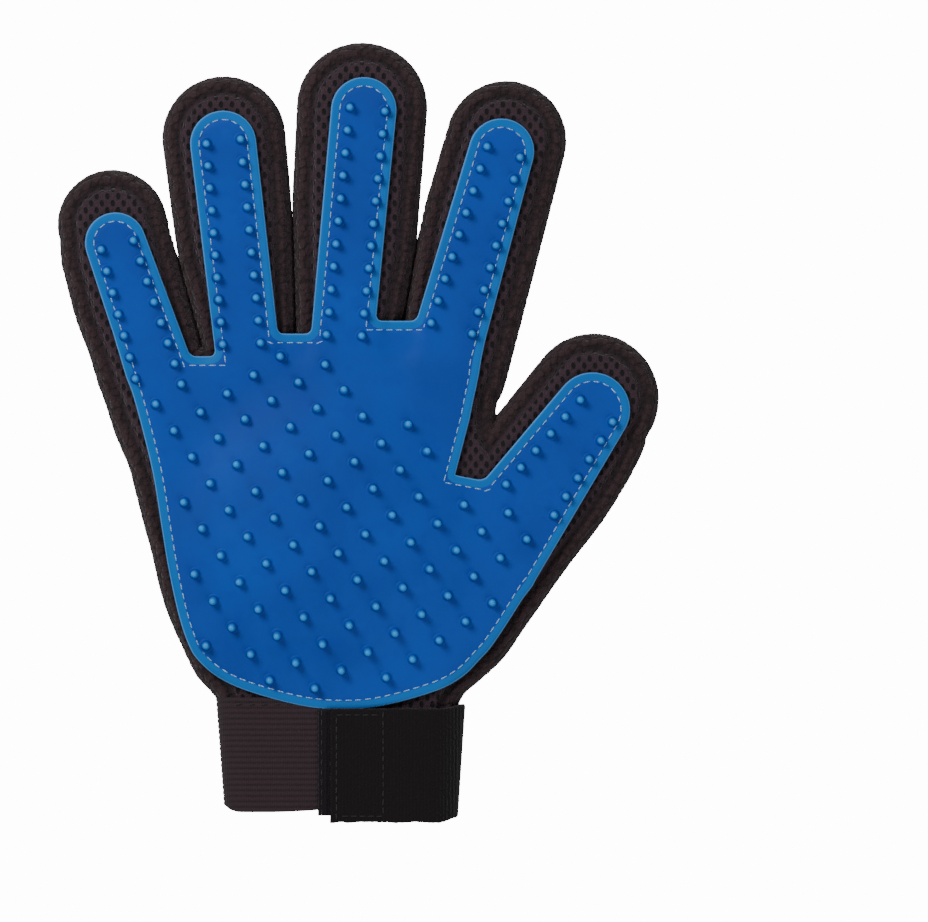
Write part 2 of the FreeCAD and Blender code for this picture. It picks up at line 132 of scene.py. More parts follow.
# The pad's edge down the little finger's side, round the heel and up to the thumb.
PAD_SIDE = [
    (-72.4, 27.6), (-69.5, 16.0), (-66.2, 4.4), (-62.2, -12), (-59.6, -28), (-57.3, -41.8),
    (-54.3, -55.5), (-51.2, -64.7), (-48.2, -69.4), (-42.3, -74.4), (-33.2, -78.6), (-17.1, -83),
    (-4, -84.2), (8.3, -83), (24.4, -78.4), (32.4, -74.0), (37.2, -69.2), (41.2, -64.7),
    (47, -56.0), (53.2, -46.0),
]
# The middle of the pad, with its webs between the fingers and beside the thumb.
PAD_WEBS = [
    (50, -36), (38.9, -14.5), (29.9, -12.8), (34.3, 4.0), (37, 17.7), (38.0, 30), (30, 34.2),
    (-4, 34.2), (-4, 30.3), (-34, 30.3), (-34, 23.4), (-66, 23.4), (-62, -12), (0, -60),
]


# ---- fields over the plan ----
def smoothstep(t):
    t = np.clip(t, 0.0, 1.0)
    return t * t * (3 - 2 * t)


def smooth_max(a, b, k):
    h = np.clip(0.5 + 0.5 * (a - b) / k, 0.0, 1.0)
    return b + (a - b) * h + k * h * (1 - h)


def unit(rows):
    """Rows of vectors at length 1."""
    return rows / (np.linalg.norm(rows, axis=1)[:, None] + 1e-12)


def strip_inside(x, y, strip):
    """How far inside a tapered strip a point lies."""
    (ax, ay, ra), (bx, by, rb) = strip
    h = math.hypot(bx - ax, by - ay)
    ux, uy = (bx - ax) / h, (by - ay) / h
    px = np.abs((x - ax) * uy - (y - ay) * ux)
    py = (x - ax) * ux + (y - ay) * uy
    b = (ra - rb) / h
    a = math.sqrt(1 - b * b)
    k = py * a - px * b
    root = ra - np.hypot(px, py)
    tip = rb - np.hypot(px, py - h)
    side = ra - (px * a + py * b)
    return np.where(k < 0, root, np.where(k > a * h, tip, side))


def outline_inside(x, y, points):
    """How far inside a closed outline a point lies, below zero outside it."""
    nearest = np.full(np.shape(x), 1e12)
    inside = np.zeros(np.shape(x), bool)
    for (ax, ay), (bx, by) in zip(points, points[1:] + points[:1]):
        ex, ey = bx - ax, by - ay
        t = np.clip(((x - ax) * ex + (y - ay) * ey) / (ex * ex + ey * ey), 0, 1)
        nearest = np.minimum(nearest, (x - ax - t * ex) ** 2 + (y - ay - t * ey) ** 2)
        if ey:
            crosses = ((ay > y) != (by > y)) & (x < ex * (y - ay) / ey + ax)
            inside ^= crosses
    d = np.sqrt(nearest)
    return np.where(inside, d, -d)


def rounded_line(points, parts=4):
    """A chain of points made smooth by a Catmull-Rom curve through them."""
    p = np.array([points[0]] + list(points) + [points[-1]], float)
    before, here, after, last = p[:-3], p[1:-2], p[2:-1], p[3:]
    out = []
    for k in range(parts):
        t = k / parts
        out.append(0.5 * (2 * here + (after - before) * t
                          + (2 * before - 5 * here + 4 * after - last) * t * t
                          + (3 * here - before - 3 * after + last) * t ** 3))
    return [tuple(q) for q in np.stack(out, 1).reshape(-1, 2)] + [tuple(points[-1])]


PALM_LINE = rounded_line(PALM_OUTLINE)
PAD_PALM = rounded_line(PAD_SIDE) + [(50, -36), (0, -10), (-64, 23)]


def glove_body(x, y, own=FINGERS):
    """How far inside the palm and the fingers named; of the others only the roots count."""
    d = outline_inside(x, y, PALM_LINE)
    for finger, strip in MESH_STRIPS.items():
        part = strip_inside(x, y, strip)
        if finger not in own:
            part = np.where(y < CROTCH_Y, part, -50.0)
        d = np.maximum(d, part)
    return d


def slit_side(x, y, slit, side):
    """How far from a slit; with a side (-1 or 1) the other side of the slit counts as outside."""
    (ax, ay), (bx, by) = slit
    ex, ey = bx - ax, by - ay
    t = ((x - ax) * ex + (y - ay) * ey) / (ex * ex + ey * ey)
    held = np.clip(t, 0, 1)
    away = np.hypot(x - ax - held * ex, y - ay - held * ey)
    if side:
        kept = ((x - ax) * ey - (y - ay) * ex) * side > 0
        away = np.where(kept | (t <= 0) | (away > 8), away, -away)
    fade = smoothstep(t / 0.03) * smoothstep((1 - t) / 0.12)
    return away - SLIT_HALF * smoothstep(t / 0.12), fade


def glove_inside(x, y):
    """How far inside the glove's outline, its finger gaps cut out."""
    d = glove_body(x, y)
    for slit in SLITS:
        d = np.minimum(d, slit_side(x, y, slit, 0)[0])
    return d


def pad_shape(x, y, blend):
    """Above zero inside the pad's outline; blend rounds its inner corners."""
    d = np.maximum(outline_inside(x, y, PAD_PALM), outline_inside(x, y, PAD_WEBS))
    for strip in PAD_STRIPS.values():
        part = strip_inside(x, y, strip)
        d = smooth_max(d, part, blend) if blend else np.maximum(d, part)
    return d


def level_line(blend, pitch):
    """The pad's outline as an even closed chain of points, with the inside on its left."""
    cell = 0.5
    gx, gy = np.meshgrid(np.arange(-90, 92, cell), np.arange(-90, 115, cell), indexing="ij")
    high = pad_shape(gx, gy, blend) > 0
    links = {}
    for i, j in np.argwhere(high[:-1] != high[1:]).tolist():
        links.setdefault((i, j - 1), []).append((i, j))
        links.setdefault((i, j), []).append((i, j - 1))
    for i, j in np.argwhere(high[:, :-1] != high[:, 1:]).tolist():
        links.setdefault((i - 1, j), []).append((i, j))
        links.setdefault((i, j), []).append((i - 1, j))
    first = min(links, key=lambda c: c[1])
    chain = [first, links[first][0]]
    while chain[-1] != first:
        ahead = [c for c in links[chain[-1]] if c != chain[-2]]
        chain.append(ahead[0])
    cells = np.array(chain[:-1])
    x, y = gx[cells[:, 0], 0] + cell / 2, gy[0, cells[:, 1]] + cell / 2
    for _ in range(6):
        miss = pad_shape(x, y, blend)
        sx = (pad_shape(x + 0.02, y, blend) - pad_shape(x - 0.02, y, blend)) / 0.04
        sy = (pad_shape(x, y + 0.02, blend) - pad_shape(x, y - 0.02, blend)) / 0.04
        size = np.maximum(sx * sx + sy * sy, 0.3)
        x, y = x - miss * sx / size, y - miss * sy / size
    if np.sum(x * np.roll(y, -1) - y * np.roll(x, -1)) < 0:
        x, y = x[::-1], y[::-1]
    return spaced(np.stack([x, y], 1), pitch)[0]


def spaced(chain, pitch, closed=True):
    """Points at an even pitch along a chain, and the directions there."""
    line = np.vstack([chain, chain[:1]]) if closed else chain
    lengths = np.concatenate([[0], np.cumsum(np.linalg.norm(np.diff(line, axis=0), axis=1))])
    count = int(lengths[-1] / pitch)
    at = np.linspace(0, lengths[-1], count, endpoint=not closed)
    points = np.stack([np.interp(at, lengths, line[:, k]) for k in (0, 1)], 1)
    ahead = np.stack([np.interp((at + 0.3) % lengths[-1], lengths, line[:, k]) for k in (0, 1)], 1)
    turn = ahead - points
    return points, turn / (np.linalg.norm(turn, axis=1)[:, None] + 1e-9)


PAD_LOOP = level_line(1.7, 1.2)
PAD_LOOP_SHARP = level_line(0, 0.6)


def pad_inside(x, y, loop=None):
    """Distance to the pad's outline, above zero inside it."""
    return outline_inside(x, y, [tuple(q) for q in (PAD_LOOP if loop is None else loop)])


def crown_height(x, y):
    """Height of the crowned palm above the table, before its edges are rounded."""
    rise = CROWN_TOP - SLAB
    radius = (CROWN_BASE ** 2 + rise ** 2) / (2 * rise)
    r2 = (x - CROWN_PLACE[0]) ** 2 + (y - CROWN_PLACE[1]) ** 2
    ball = CROWN_TOP - radius + np.sqrt(np.maximum(radius ** 2 - r2, 1.0))
    top = smooth_max(ball, np.full(np.shape(x), SLAB), 1.2)
    top = top - 1.7 * smoothstep((-60 - y) / 26)
    for (ax, ay, _), (bx, by, rb) in MESH_STRIPS.values():
        h = math.hypot(bx - ax, by - ay)
        beyond = ((x - bx) * (bx - ax) + (y - by) * (by - ay)) / h
        aside = np.abs((x - bx) * (by - ay) - (y - by) * (bx - ax)) / h
        near = smoothstep((rb + 1.5 - aside) / 1.5)
        top = top - 1.8 * smoothstep((beyond + 1) / rb) * near
    return top


def floor_height(y):
    """Height of the glove's underside, which lifts towards the cuff."""
    return 2.9 * smoothstep((-66 - y) / 17)


def edge_drop(d):
    """How far the rounded edge lies below the flat, d inside the outline."""
    t = np.clip(EDGE_R - d, 0, EDGE_R)
    return EDGE_R - np.sqrt(EDGE_R ** 2 - t * t)


def seat_height(x, y):
    """Height of the glove's face on which the pad lies."""
    return crown_height(x, y) - edge_drop(np.maximum(glove_inside(x, y), 4.2))


# ---- surface of a field ----
def surface_net(field, origin, step):
    """Vertices and quads of the surface where the field is zero, and the vertices' normals."""
    inside = field < 0
    n = np.array(field.shape)
    corners = [(i, j, k) for i in (0, 1) for j in (0, 1) for k in (0, 1)]
    count = np.zeros(n - 1, np.uint8)
    for i, j, k in corners:
        count += inside[i:n[0] - 1 + i, j:n[1] - 1 + j, k:n[2] - 1 + k]
    cells = np.argwhere((count > 0) & (count < 8))
    index = np.full(n - 1, -1, np.int64)
    index[tuple(cells.T)] = np.arange(len(cells))
    total = np.zeros((len(cells), 3))
    hits = np.zeros(len(cells))
    for a in corners:
        for axis in range(3):
            if a[axis]:
                continue
            b = tuple(v + (w == axis) for w, v in enumerate(a))
            va = field[tuple((cells + a).T)]
            vb = field[tuple((cells + b).T)]
            cross = (va < 0) != (vb < 0)
            t = va / np.where(cross, va - vb, 1)
            point = np.array(a, float)[None, :].repeat(len(cells), 0)
            point[:, axis] += t
            total += point * cross[:, None]
            hits += cross
    local = cells + total / hits[:, None]
    quads = []
    for axis in range(3):
        one = np.zeros(3, int)
        two = np.zeros(3, int)
        one[(axis + 1) % 3] = 1
        two[(axis + 2) % 3] = 1
        ahead = [slice(None)] * 3
        here = [slice(None)] * 3
        ahead[axis] = slice(1, None)
        here[axis] = slice(None, -1)
        grid = np.argwhere(inside[tuple(here)] != inside[tuple(ahead)])
        keep = (grid[:, (axis + 1) % 3] > 0) & (grid[:, (axis + 2) % 3] > 0)
        grid = grid[keep & (grid < n - 1).all(1)]
        ring = [grid - one - two, grid - two, grid, grid - one]
        quad = np.stack([index[tuple(c.T)] for c in ring], 1)
        outward = inside[tuple(grid.T)]
        quads.append(np.where(outward[:, None], quad, quad[:, ::-1]))
    normals = np.zeros_like(local)
    low = np.clip(np.floor(local).astype(int), 1, n - 3)
    frac = local - low
    for i, j, k in corners:
        weight = np.ones(len(local))
        for axis, side in enumerate((i, j, k)):
            weight *= frac[:, axis] if side else 1 - frac[:, axis]
        at = low + (i, j, k)
        for axis in range(3):
            unit = np.zeros(3, int)
            unit[axis] = 1
            slope = field[tuple((at + unit).T)] - field[tuple((at - unit).T)]
            normals[:, axis] += weight * slope
    normals /= np.linalg.norm(normals, axis=1)[:, None] + 1e-9
    return origin + local * step, np.concatenate(quads), normals


def slab_field(d, z, top, low, radius):
    """Rounded slab over an outline: below zero inside."""
    out = radius - d
    up = np.maximum(z - (top - radius), low + radius - z)
    return np.hypot(np.maximum(out, 0), np.maximum(up, 0)) + np.minimum(np.maximum(out, up), 0) \
        - radius


def ripple(x, y, z, pitch):
    """Uneven lumps like the loops of a coarse knit."""
    k = 2 * math.pi / pitch
    a = k * (x + 0.5 * np.sin(0.61 * y + 0.4 * z))
    b = k * (y + 0.5 * np.sin(0.53 * x + 1.7))
    c = k * (z + 0.4 * np.sin(0.47 * (x + y)))
    return (np.sin(a) * np.cos(b) + np.sin(b) * np.cos(c) + np.sin(c) * np.cos(a)) / 1.5


def mesh_field(xs, ys, zs, own):
    """Field of the mesh fabric with only the fingers named; below zero in the fabric."""
    x, y = np.meshgrid(xs, ys, indexing="ij")
    body = glove_body(x, y, own)
    slits = []
    for k, slit in enumerate(SLITS):
        side = -1 if FINGERS[k] in own else 1
        slits.append((side, *slit_side(x, y, slit, side)))
    d = body
    for _, away, _ in slits:
        d = np.minimum(d, away)
    covered = smoothstep(pad_inside(x, y) / 1.2 + 0.5)
    top = crown_height(x, y)
    low = floor_height(y)
    radius = np.minimum(EDGE_R, (top - low) / 2 - 0.05)
    drift = 0.35 * np.sin(x / 7.3 + 0.6) * np.sin(y / 9.1) + 0.2 * np.sin((x - y) / 4.7)
    seam_z = top - edge_drop(np.full(1, GROOVE_IN))[0] + 0.55
    rim = smoothstep((5.2 - d) / 2)
    free = smoothstep((body - d + 0.6) / 0.6)
    field = np.empty((len(xs), len(ys), len(zs)), np.float32)
    for k, z in enumerate(zs):
        lumps = ripple(x, y, z, 3.1)
        swing = SLIT_SWING * math.sin(1.9 * z)
        here = body + 0.26 * rim * lumps * (1 - covered)
        for side, away, fade in slits:
            here = np.minimum(here, away - side * swing * fade)
        outer = slab_field(here, z, top, low, radius)
        high = smoothstep((z - SIDE_Z) / 4)
        outer -= 0.5 * np.exp(-((d - 2.4) / 1.4) ** 2) * high * (1 - covered)
        outer += 0.3 * covered * high
        groove = 1.6 - np.hypot(d - GROOVE_IN, z - seam_z)
        outer = np.where(covered < 0.9, smooth_max(outer, groove, 0.7), outer)
        outer += (0.03 + 0.1 * rim) * lumps * (1 - covered * high) * free
        outer += 0.5 * drift * smoothstep((d + 2) / 6) * (1 - high) * smoothstep((z - 1) / 4)
        inner = slab_field(d - WALL, z, top - WALL, low + WALL, np.maximum(radius - WALL, 1.0))
        field[:, :, k] = np.maximum(np.maximum(outer, -inner), HEM_END - y)
    return field


# ---- meshes ----
def make_object(name, points, faces, normals=None, values=None):
    """A mesh object from points in millimetres."""
    mesh = bpy.data.meshes.new(name)
    points = np.asarray(points, float)
    mesh.from_pydata((points * MM).tolist(), [], [tuple(f) for f in faces])
    mesh.update()
    mesh.shade_smooth()
    attribute = mesh.attributes.new("rest", "FLOAT_VECTOR", "POINT")
    attribute.data.foreach_set("vector", points.astype(np.float32).ravel())
    for key, value in (values or {}).items():
        attribute = mesh.attributes.new(key, "FLOAT", "POINT")
        attribute.data.foreach_set("value", np.asarray(value, np.float32))
    if normals is not None:
        mesh.normals_split_custom_set_from_vertices(normals.tolist())
    obj = bpy.data.objects.new(name, mesh)
    bpy.context.scene.collection.objects.link(obj)
    return obj


def take(points, faces, chosen, *arrays):
    """The chosen faces with only the points that they use."""
    faces = faces[chosen]
    used = np.unique(faces)
    renumber = np.full(len(points), -1)
    renumber[used] = np.arange(len(used))
    return points[used], renumber[faces], [a[used] for a in arrays]


class Bend:
    """The lines on which a finger bends, and how it is cut into a root and an end piece."""

    def __init__(self, finger):
        knuckle = JOINTS[finger + "_knuckle"]
        middle = JOINTS[finger + "_middle_joint"]
        axis = np.array(knuckle["axis"][:2])
        self.along = np.array([-axis[1], axis[0]])
        self.place = np.array(knuckle["pos_m"][:2]) / MM
        self.height = knuckle["pos_m"][2] / MM
        self.reach = (np.array(middle["pos_m"][:2]) / MM - self.place) @ self.along
        self.start = -2.0
        self.cut = round(self.reach / 2 + 0.3, 1)
        self.root_zone = (self.start, min(self.cut - 0.3, 14.0))
        self.end_zone = (max(self.cut + 0.3, self.reach - 8.0), self.reach + 8.0)

    def distance(self, x, y):
        return (x - self.place[0]) * self.along[0] + (y - self.place[1]) * self.along[1]

    def point(self, distance):
        x, y = self.place + self.along * distance
        return (x * MM, y * MM, self.height * MM)


BENDS = {f: Bend(f) for f in FINGERS}
BENDS["pinky"].cut = 25.0
BENDS["pinky"].end_zone = (25.3, 38.0)
THUMB = BENDS["thumb"]
THUMB.cut = THUMB.reach + 0.7
THUMB.root_zone = (THUMB.start, 10.0)
THUMB.end_zone = (THUMB.reach + 1.0, THUMB.reach + 15.0)
# The web beside the thumb: a point of its edge line, the direction away from the palm, and the
# width of the web.
WEB_EDGE = np.array([43.3, 2.5])
WEB_AWAY = np.array([0.922, -0.387])
WEB_WIDTH = 4.5


def region_of(x, y, room=0.0, own=FINGERS):
    """Number of the piece that a place on the glove belongs to: 0 the palm, then roots and ends.

    WEB_REGION is the web beside the thumb. Past the crotches a finger also takes in that much
    room beyond its slits, where its wavy side walls reach.
    """
    room = np.where(y > CROTCH_Y, room, 0.0)
    region = np.zeros(np.shape(x), int)
    across = [-1e9] + [a[0] + (y - a[1]) * (b[0] - a[0]) / (b[1] - a[1]) for a, b in SLITS] + [1e9]
    for k, finger in enumerate(FINGERS[:4]):
        if finger not in own:
            continue
        bend = BENDS[finger]
        s = bend.distance(x, y)
        mine = (x > across[k] - room) & (x <= across[k + 1] + room) & (s > bend.start)
        region = np.where(mine & (s <= bend.cut), 1 + 2 * k, region)
        region = np.where(mine & (s > bend.cut), 2 + 2 * k, region)
    s = THUMB.distance(x, y)
    from_edge = (x - WEB_EDGE[0]) * WEB_AWAY[0] + (y - WEB_EDGE[1]) * WEB_AWAY[1]
    mine = (s > THUMB.start) & (from_edge > 0)
    share = (s - THUMB.start) / (THUMB.root_zone[1] - THUMB.start)
    web = mine & (from_edge / WEB_WIDTH < np.minimum(share, 1)) & (s < THUMB.cut + 6)
    region = np.where(mine & (s <= THUMB.cut), THUMB_ROOT, region)
    region = np.where(mine & (s > THUMB.cut), THUMB_END, region)
    return np.where(web, WEB_REGION, region)


def attach(obj, region):
    """Attaches a piece of the palm to the palm's body; any other piece only has its transform
    baked in.
    """
    if region == 0:
        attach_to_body(obj, "palm")
        return
    if region == WEB_REGION:
        start, end = WEB_EDGE, WEB_EDGE + WEB_AWAY * WEB_WIDTH
        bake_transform(obj)
        return
    finger = FINGERS[(region - 1) // 2]
    bend = BENDS[finger]
    if region % 2:
        start, end = bend.root_zone
        bend.point(start)
        bend.point(end)
        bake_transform(obj)
    else:
        start, end = bend.end_zone
        bend.point(start)
        bend.point(end)
        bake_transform(obj)


def region_name(region, kind):
    """(piece name, CAD node it stands for)"""
    if region == 0:
        return kind + "_palm_look", kind + "_palm"
    if region == WEB_REGION:
        return kind + "_thumb_web_look", kind + "_palm"
    finger = FINGERS[(region - 1) // 2]
    part = "base" if region % 2 else "tip"
    return "%s_%s_%s_look" % (kind, finger, part), "%s_%s_%s" % (kind, finger, part)


# ---- materials ----
def srgb(r, g, b):
    """Linear colour from the usual 0 to 255 numbers."""
    out = []
    for v in (r, g, b):
        v /= 255
        out.append(v / 12.92 if v <= 0.04045 else ((v + 0.055) / 1.055) ** 2.4)
    return (*out, 1.0)


class Paint:
    """A node material and short ways to add nodes to it."""

    def __init__(self, name):
        self.material = bpy.data.materials.new(name)
        self.material.use_nodes = True
        self.tree = self.material.node_tree
        self.shader = self.tree.nodes["Principled BSDF"]

    def put(self, socket, value):
        if isinstance(value, bpy.types.NodeSocket):
            self.tree.links.new(value, socket)
        else:
            socket.default_value = value

    def node(self, kind, inputs=None, **settings):
        made = self.tree.nodes.new(kind)
        for key, value in settings.items():
            setattr(made, key, value)
        for key, value in (inputs or {}).items():
            self.put(made.inputs[key], value)
        return made

    def math(self, operation, a, b=0.0):
        made = self.node("ShaderNodeMath", {0: a, 1: b}, operation=operation)
        return made.outputs[0]

    def times(self, a, b):
        return self.math("MULTIPLY", a, b)

    def without(self, a, b):
        return self.math("SUBTRACT", a, b)

    def tones(self, factor, tone, first, second):
        """Mix of one tone at two strengths."""
        return self.mix(factor, self.tone(tone, first), self.tone(tone, second))

    def tone(self, tone, strength):
        return srgb(*[min(255, c * strength) for c in tone])

    def attribute(self, name):
        return self.node("ShaderNodeAttribute", attribute_name=name).outputs

    def step(self, value, low, high):
        """0 below low, 1 above high, smooth in between."""
        made = self.node("ShaderNodeMapRange", {0: value, 1: low, 2: high},
                         interpolation_type="SMOOTHSTEP")
        return made.outputs[0]

    def mix(self, factor, a, b):
        made = self.node("ShaderNodeMix", {"Factor": factor}, data_type="RGBA")
        self.put(made.inputs[6], a)
        self.put(made.inputs[7], b)
        return made.outputs[2]

    def noise(self, vector, scale, detail=2.0, rough=0.5):
        made = self.node("ShaderNodeTexNoise", {"Vector": vector, "Scale": scale,
                                                "Detail": detail, "Roughness": rough})
        return made.outputs[0]

    def bump(self, height, distance, strength):
        inputs = {"Height": height, "Distance": distance * MM, "Strength": strength}
        return self.node("ShaderNodeBump", inputs).outputs[0]

    def finish(self, color, roughness, normal=None, **more):
        self.put(self.shader.inputs["Base Color"], color)
        self.put(self.shader.inputs["Roughness"], roughness)
        if normal is not None:
            self.put(self.shader.inputs["Normal"], normal)
        for key, value in more.items():
            self.put(self.shader.inputs[key.replace("_", " ")], value)
        return self.material


def spacer_mesh_paint(name, tone):
    """Knitted spacer fabric: staggered oval holes on the flat, rough knit on the puffed rim, with
    painted shade in the holes, between the rim's loops and along the seam's groove.
    """
    p = Paint(name)
    rest = p.attribute("rest")["Vector"]
    rim = p.attribute("rim")["Fac"]
    seam = p.attribute("seam")["Fac"]
    parts = p.node("ShaderNodeSeparateXYZ", {0: rest}).outputs
    row_at = p.math("DIVIDE", parts[1], 2.15)
    odd = p.math("FLOORED_MODULO", p.math("FLOOR", row_at), 2.0)
    column_at = p.math("ADD", p.math("DIVIDE", parts[0], 3.3), p.times(odd, 0.5))
    across = p.without(p.math("FRACT", column_at), 0.5)
    down = p.without(p.math("FRACT", row_at), 0.5)
    across = p.times(across, 3.3 / 0.72)
    down = p.times(down, 2.15 / 1.15)
    r2 = p.math("ADD", p.times(across, across), p.times(down, down))
    hole = p.without(1.0, p.step(r2, 0.4, 1.2))
    hole = p.times(hole, p.without(1.0, p.step(rim, 0.0, 0.9)))
    cells = p.node("ShaderNodeTexVoronoi", {"Vector": rest, "Scale": 0.52, "Randomness": 0.75},
                   feature="F1").outputs["Distance"]
    gaps = p.step(cells, 0.35, 0.85)
    loops = p.node("ShaderNodeTexVoronoi", {"Vector": rest, "Scale": 1.5, "Randomness": 0.9},
                   feature="F1").outputs["Distance"]
    fuzz = p.noise(rest, 2.1, 3.0, 0.6)
    broad = p.step(p.noise(rest, 0.08, 2.0), 0.35, 0.7)
    gaps = p.times(gaps, rim)
    yarn = p.math("ADD", p.times(loops, 0.5), p.times(fuzz, 0.5))
    shade = p.tones(yarn, tone, 1.45, 0.7)
    shade = p.mix(p.times(broad, 0.35), shade, p.tone(tone, 1.35))
    # painted shade in the recesses between the knit's loops on the rim
    shade = p.mix(p.times(gaps, 0.75), shade, p.tone(tone, 0.42))
    # painted shade: the holes are painted far darker, as the shade inside them
    shade = p.mix(hole, shade, p.tone(tone, 0.22))
    # painted shade along the groove at the seam
    shade = p.mix(p.times(seam, 0.7), shade, p.tone(tone, 0.35))
    height = p.without(p.times(fuzz, 0.3), hole)
    height = p.without(height, p.times(gaps, 0.9))
    height = p.without(height, p.times(loops, 0.35))
    return p.finish(shade, 0.85, p.bump(height, 0.7, 0.95), Specular_IOR_Level=0.3,
                    Sheen_Weight=0.1, Sheen_Roughness=0.5)


def rubber_paint():
    """Moulded blue rubber: a paler edge outside the stitching, and painted highlights along the
    outline and on the tops of the nubs.
    """
    p = Paint("blue_rubber")
    rest = p.attribute("rest")["Vector"]
    edge = p.attribute("edge")["Fac"]
    tip = p.attribute("tip")["Fac"]
    broad = p.noise(rest, 0.04, 3.0, 0.55)
    patch = p.noise(rest, 0.16, 2.0, 0.5)
    fine = p.noise(rest, 2.4, 3.0, 0.6)
    body = p.mix(p.step(broad, 0.3, 0.7), srgb(0, 60, 152), srgb(0, 70, 168))
    body = p.mix(p.times(p.step(patch, 0.45, 0.75), 0.35), body, srgb(0, 50, 150))
    flange = p.without(1.0, p.step(edge, 2.3, 2.8))
    body = p.mix(flange, body, srgb(0, 100, 180))
    # painted highlight: a pale line along the pad's outline, where its rounded edge would catch
    # the light
    line = p.without(1.0, p.step(edge, 0.15, 0.55))
    body = p.mix(line, body, srgb(84, 150, 214))
    # painted highlight: the nubs are lighter towards their tops
    body = p.mix(p.step(tip, 0.6, 3.5), body, srgb(44, 142, 226))
    body = p.mix(p.times(p.step(fine, 0.55, 0.8), 0.1), body, srgb(20, 96, 190))
    rough = p.math("ADD", 0.52, p.times(fine, 0.16))
    rough = p.without(rough, p.times(p.step(tip, 0.3, 2.0), 0.2))
    return p.finish(body, rough, p.bump(fine, 0.05, 0.5), Specular_IOR_Level=0.2)


def thread_paint(name, light, dark):
    p = Paint(name)
    rest = p.attribute("rest")["Vector"]
    twist = p.node("ShaderNodeTexWave", {"Vector": rest, "Scale": 0.9, "Distortion": 0.4},
                   bands_direction="DIAGONAL").outputs["Fac"]
    shade = p.mix(twist, srgb(*dark), srgb(*light))
    return p.finish(shade, 0.6, p.bump(twist, 0.12, 0.7), Sheen_Weight=0.2)


def elastic_paint():
    """Woven elastic: ribs along the wrist, with painted shade between them, and fine warp threads
    across them.
    """
    p = Paint("ribbed_elastic")
    rest = p.attribute("rest")["Vector"]
    rib = p.attribute("rib")["Fac"]
    warp = p.node("ShaderNodeTexWave", {"Vector": rest, "Scale": 0.48, "Distortion": 0.8,
                                        "Detail": 1.0}, bands_direction="X").outputs["Fac"]
    fuzz = p.noise(rest, 2.2, 3.0, 0.6)
    broad = p.noise(rest, 0.07, 2.0)
    # painted shade: darker in the grooves between the ribs, lighter on their tops
    shade = p.mix(rib, srgb(22, 12, 16), srgb(50, 33, 41))
    shade = p.mix(p.times(warp, 0.3), shade, srgb(34, 22, 28))
    shade = p.mix(p.times(broad, 0.3), shade, srgb(40, 26, 33))
    shade = p.mix(p.times(p.step(fuzz, 0.5, 0.8), 0.25), shade, srgb(80, 60, 68))
    height = p.math("ADD", p.times(warp, 0.5), p.times(fuzz, 0.5))
    return p.finish(shade, 0.82, p.bump(height, 0.2, 0.8), Specular_IOR_Level=0.3,
                    Sheen_Weight=0.12)


def nap_paint(name, tone, scale, depth):
    """Brushed or napped fabric of one dark colour."""
    p = Paint(name)
    rest = p.attribute("rest")["Vector"]
    pile = p.noise(rest, scale, 4.0, 0.65)
    loops = p.node("ShaderNodeTexVoronoi", {"Vector": rest, "Scale": scale * 0.8},
                   feature="F1").outputs["Distance"]
    edge = p.attribute("edge")["Fac"]
    lines = p.node("ShaderNodeTexWave", {"Vector": rest, "Scale": 0.3, "Distortion": 1.2,
                                         "Detail": 2.0}, bands_direction="X").outputs["Fac"]
    # lighter along the band's long edges
    pale_edge = p.times(p.without(1.0, p.step(edge, 0.2, 0.7)), 0.5)
    shade = p.tones(pile, tone, 0.55, 1.5)
    shade = p.mix(p.times(lines, 0.4), shade, p.tone(tone, 0.7))
    shade = p.mix(pale_edge, shade, p.tone(tone, 2.2))
    height = p.math("ADD", pile, p.times(loops, 0.6))
    height = p.math("ADD", height, p.times(lines, 0.4))
    return p.finish(shade, 0.93, p.bump(height, depth, 0.9), Specular_IOR_Level=0.2,
                    Sheen_Weight=0.1, Sheen_Roughness=0.6)


PAINTS = {
    "front_mesh": (spacer_mesh_paint("air_mesh_front", (46, 31, 39)), "air_mesh_front"),
    "back_mesh": (spacer_mesh_paint("air_mesh_back", (44, 28, 32)), "air_mesh_back"),
    "rubber_pad": (rubber_paint(), "blue_rubber"),
    "pad_stitching": (thread_paint("pad_thread", (168, 206, 240), (84, 140, 204)), "pad_thread"),
    "black_thread": (thread_paint("black_thread", (16, 10, 14), (7, 4, 6)), "black_thread"),
    "elastic": (elastic_paint(), "ribbed_elastic"),
    "strap": (nap_paint("strap_fabric", (8, 1, 5), 1.3, 0.5), "strap_fabric"),
    "loop_tape": (nap_paint("loop_tape", (16, 8, 15), 1.8, 0.5), "loop_tape"),
    "hook_tape": (nap_paint("hook_tape", (24, 18, 24), 2.4, 0.15), "hook_tape"),
}


def paint(obj, key):
    material, slot = PAINTS[key]
    obj.data.materials.append(material)


def place(obj, key, node, body):
    """Paints a piece and puts it in place of its CAD node; body is a body's name or a region."""
    paint(obj, key)
    if isinstance(body, str):
        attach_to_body(obj, body)
    else:
        attach(obj, body)
    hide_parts(node)


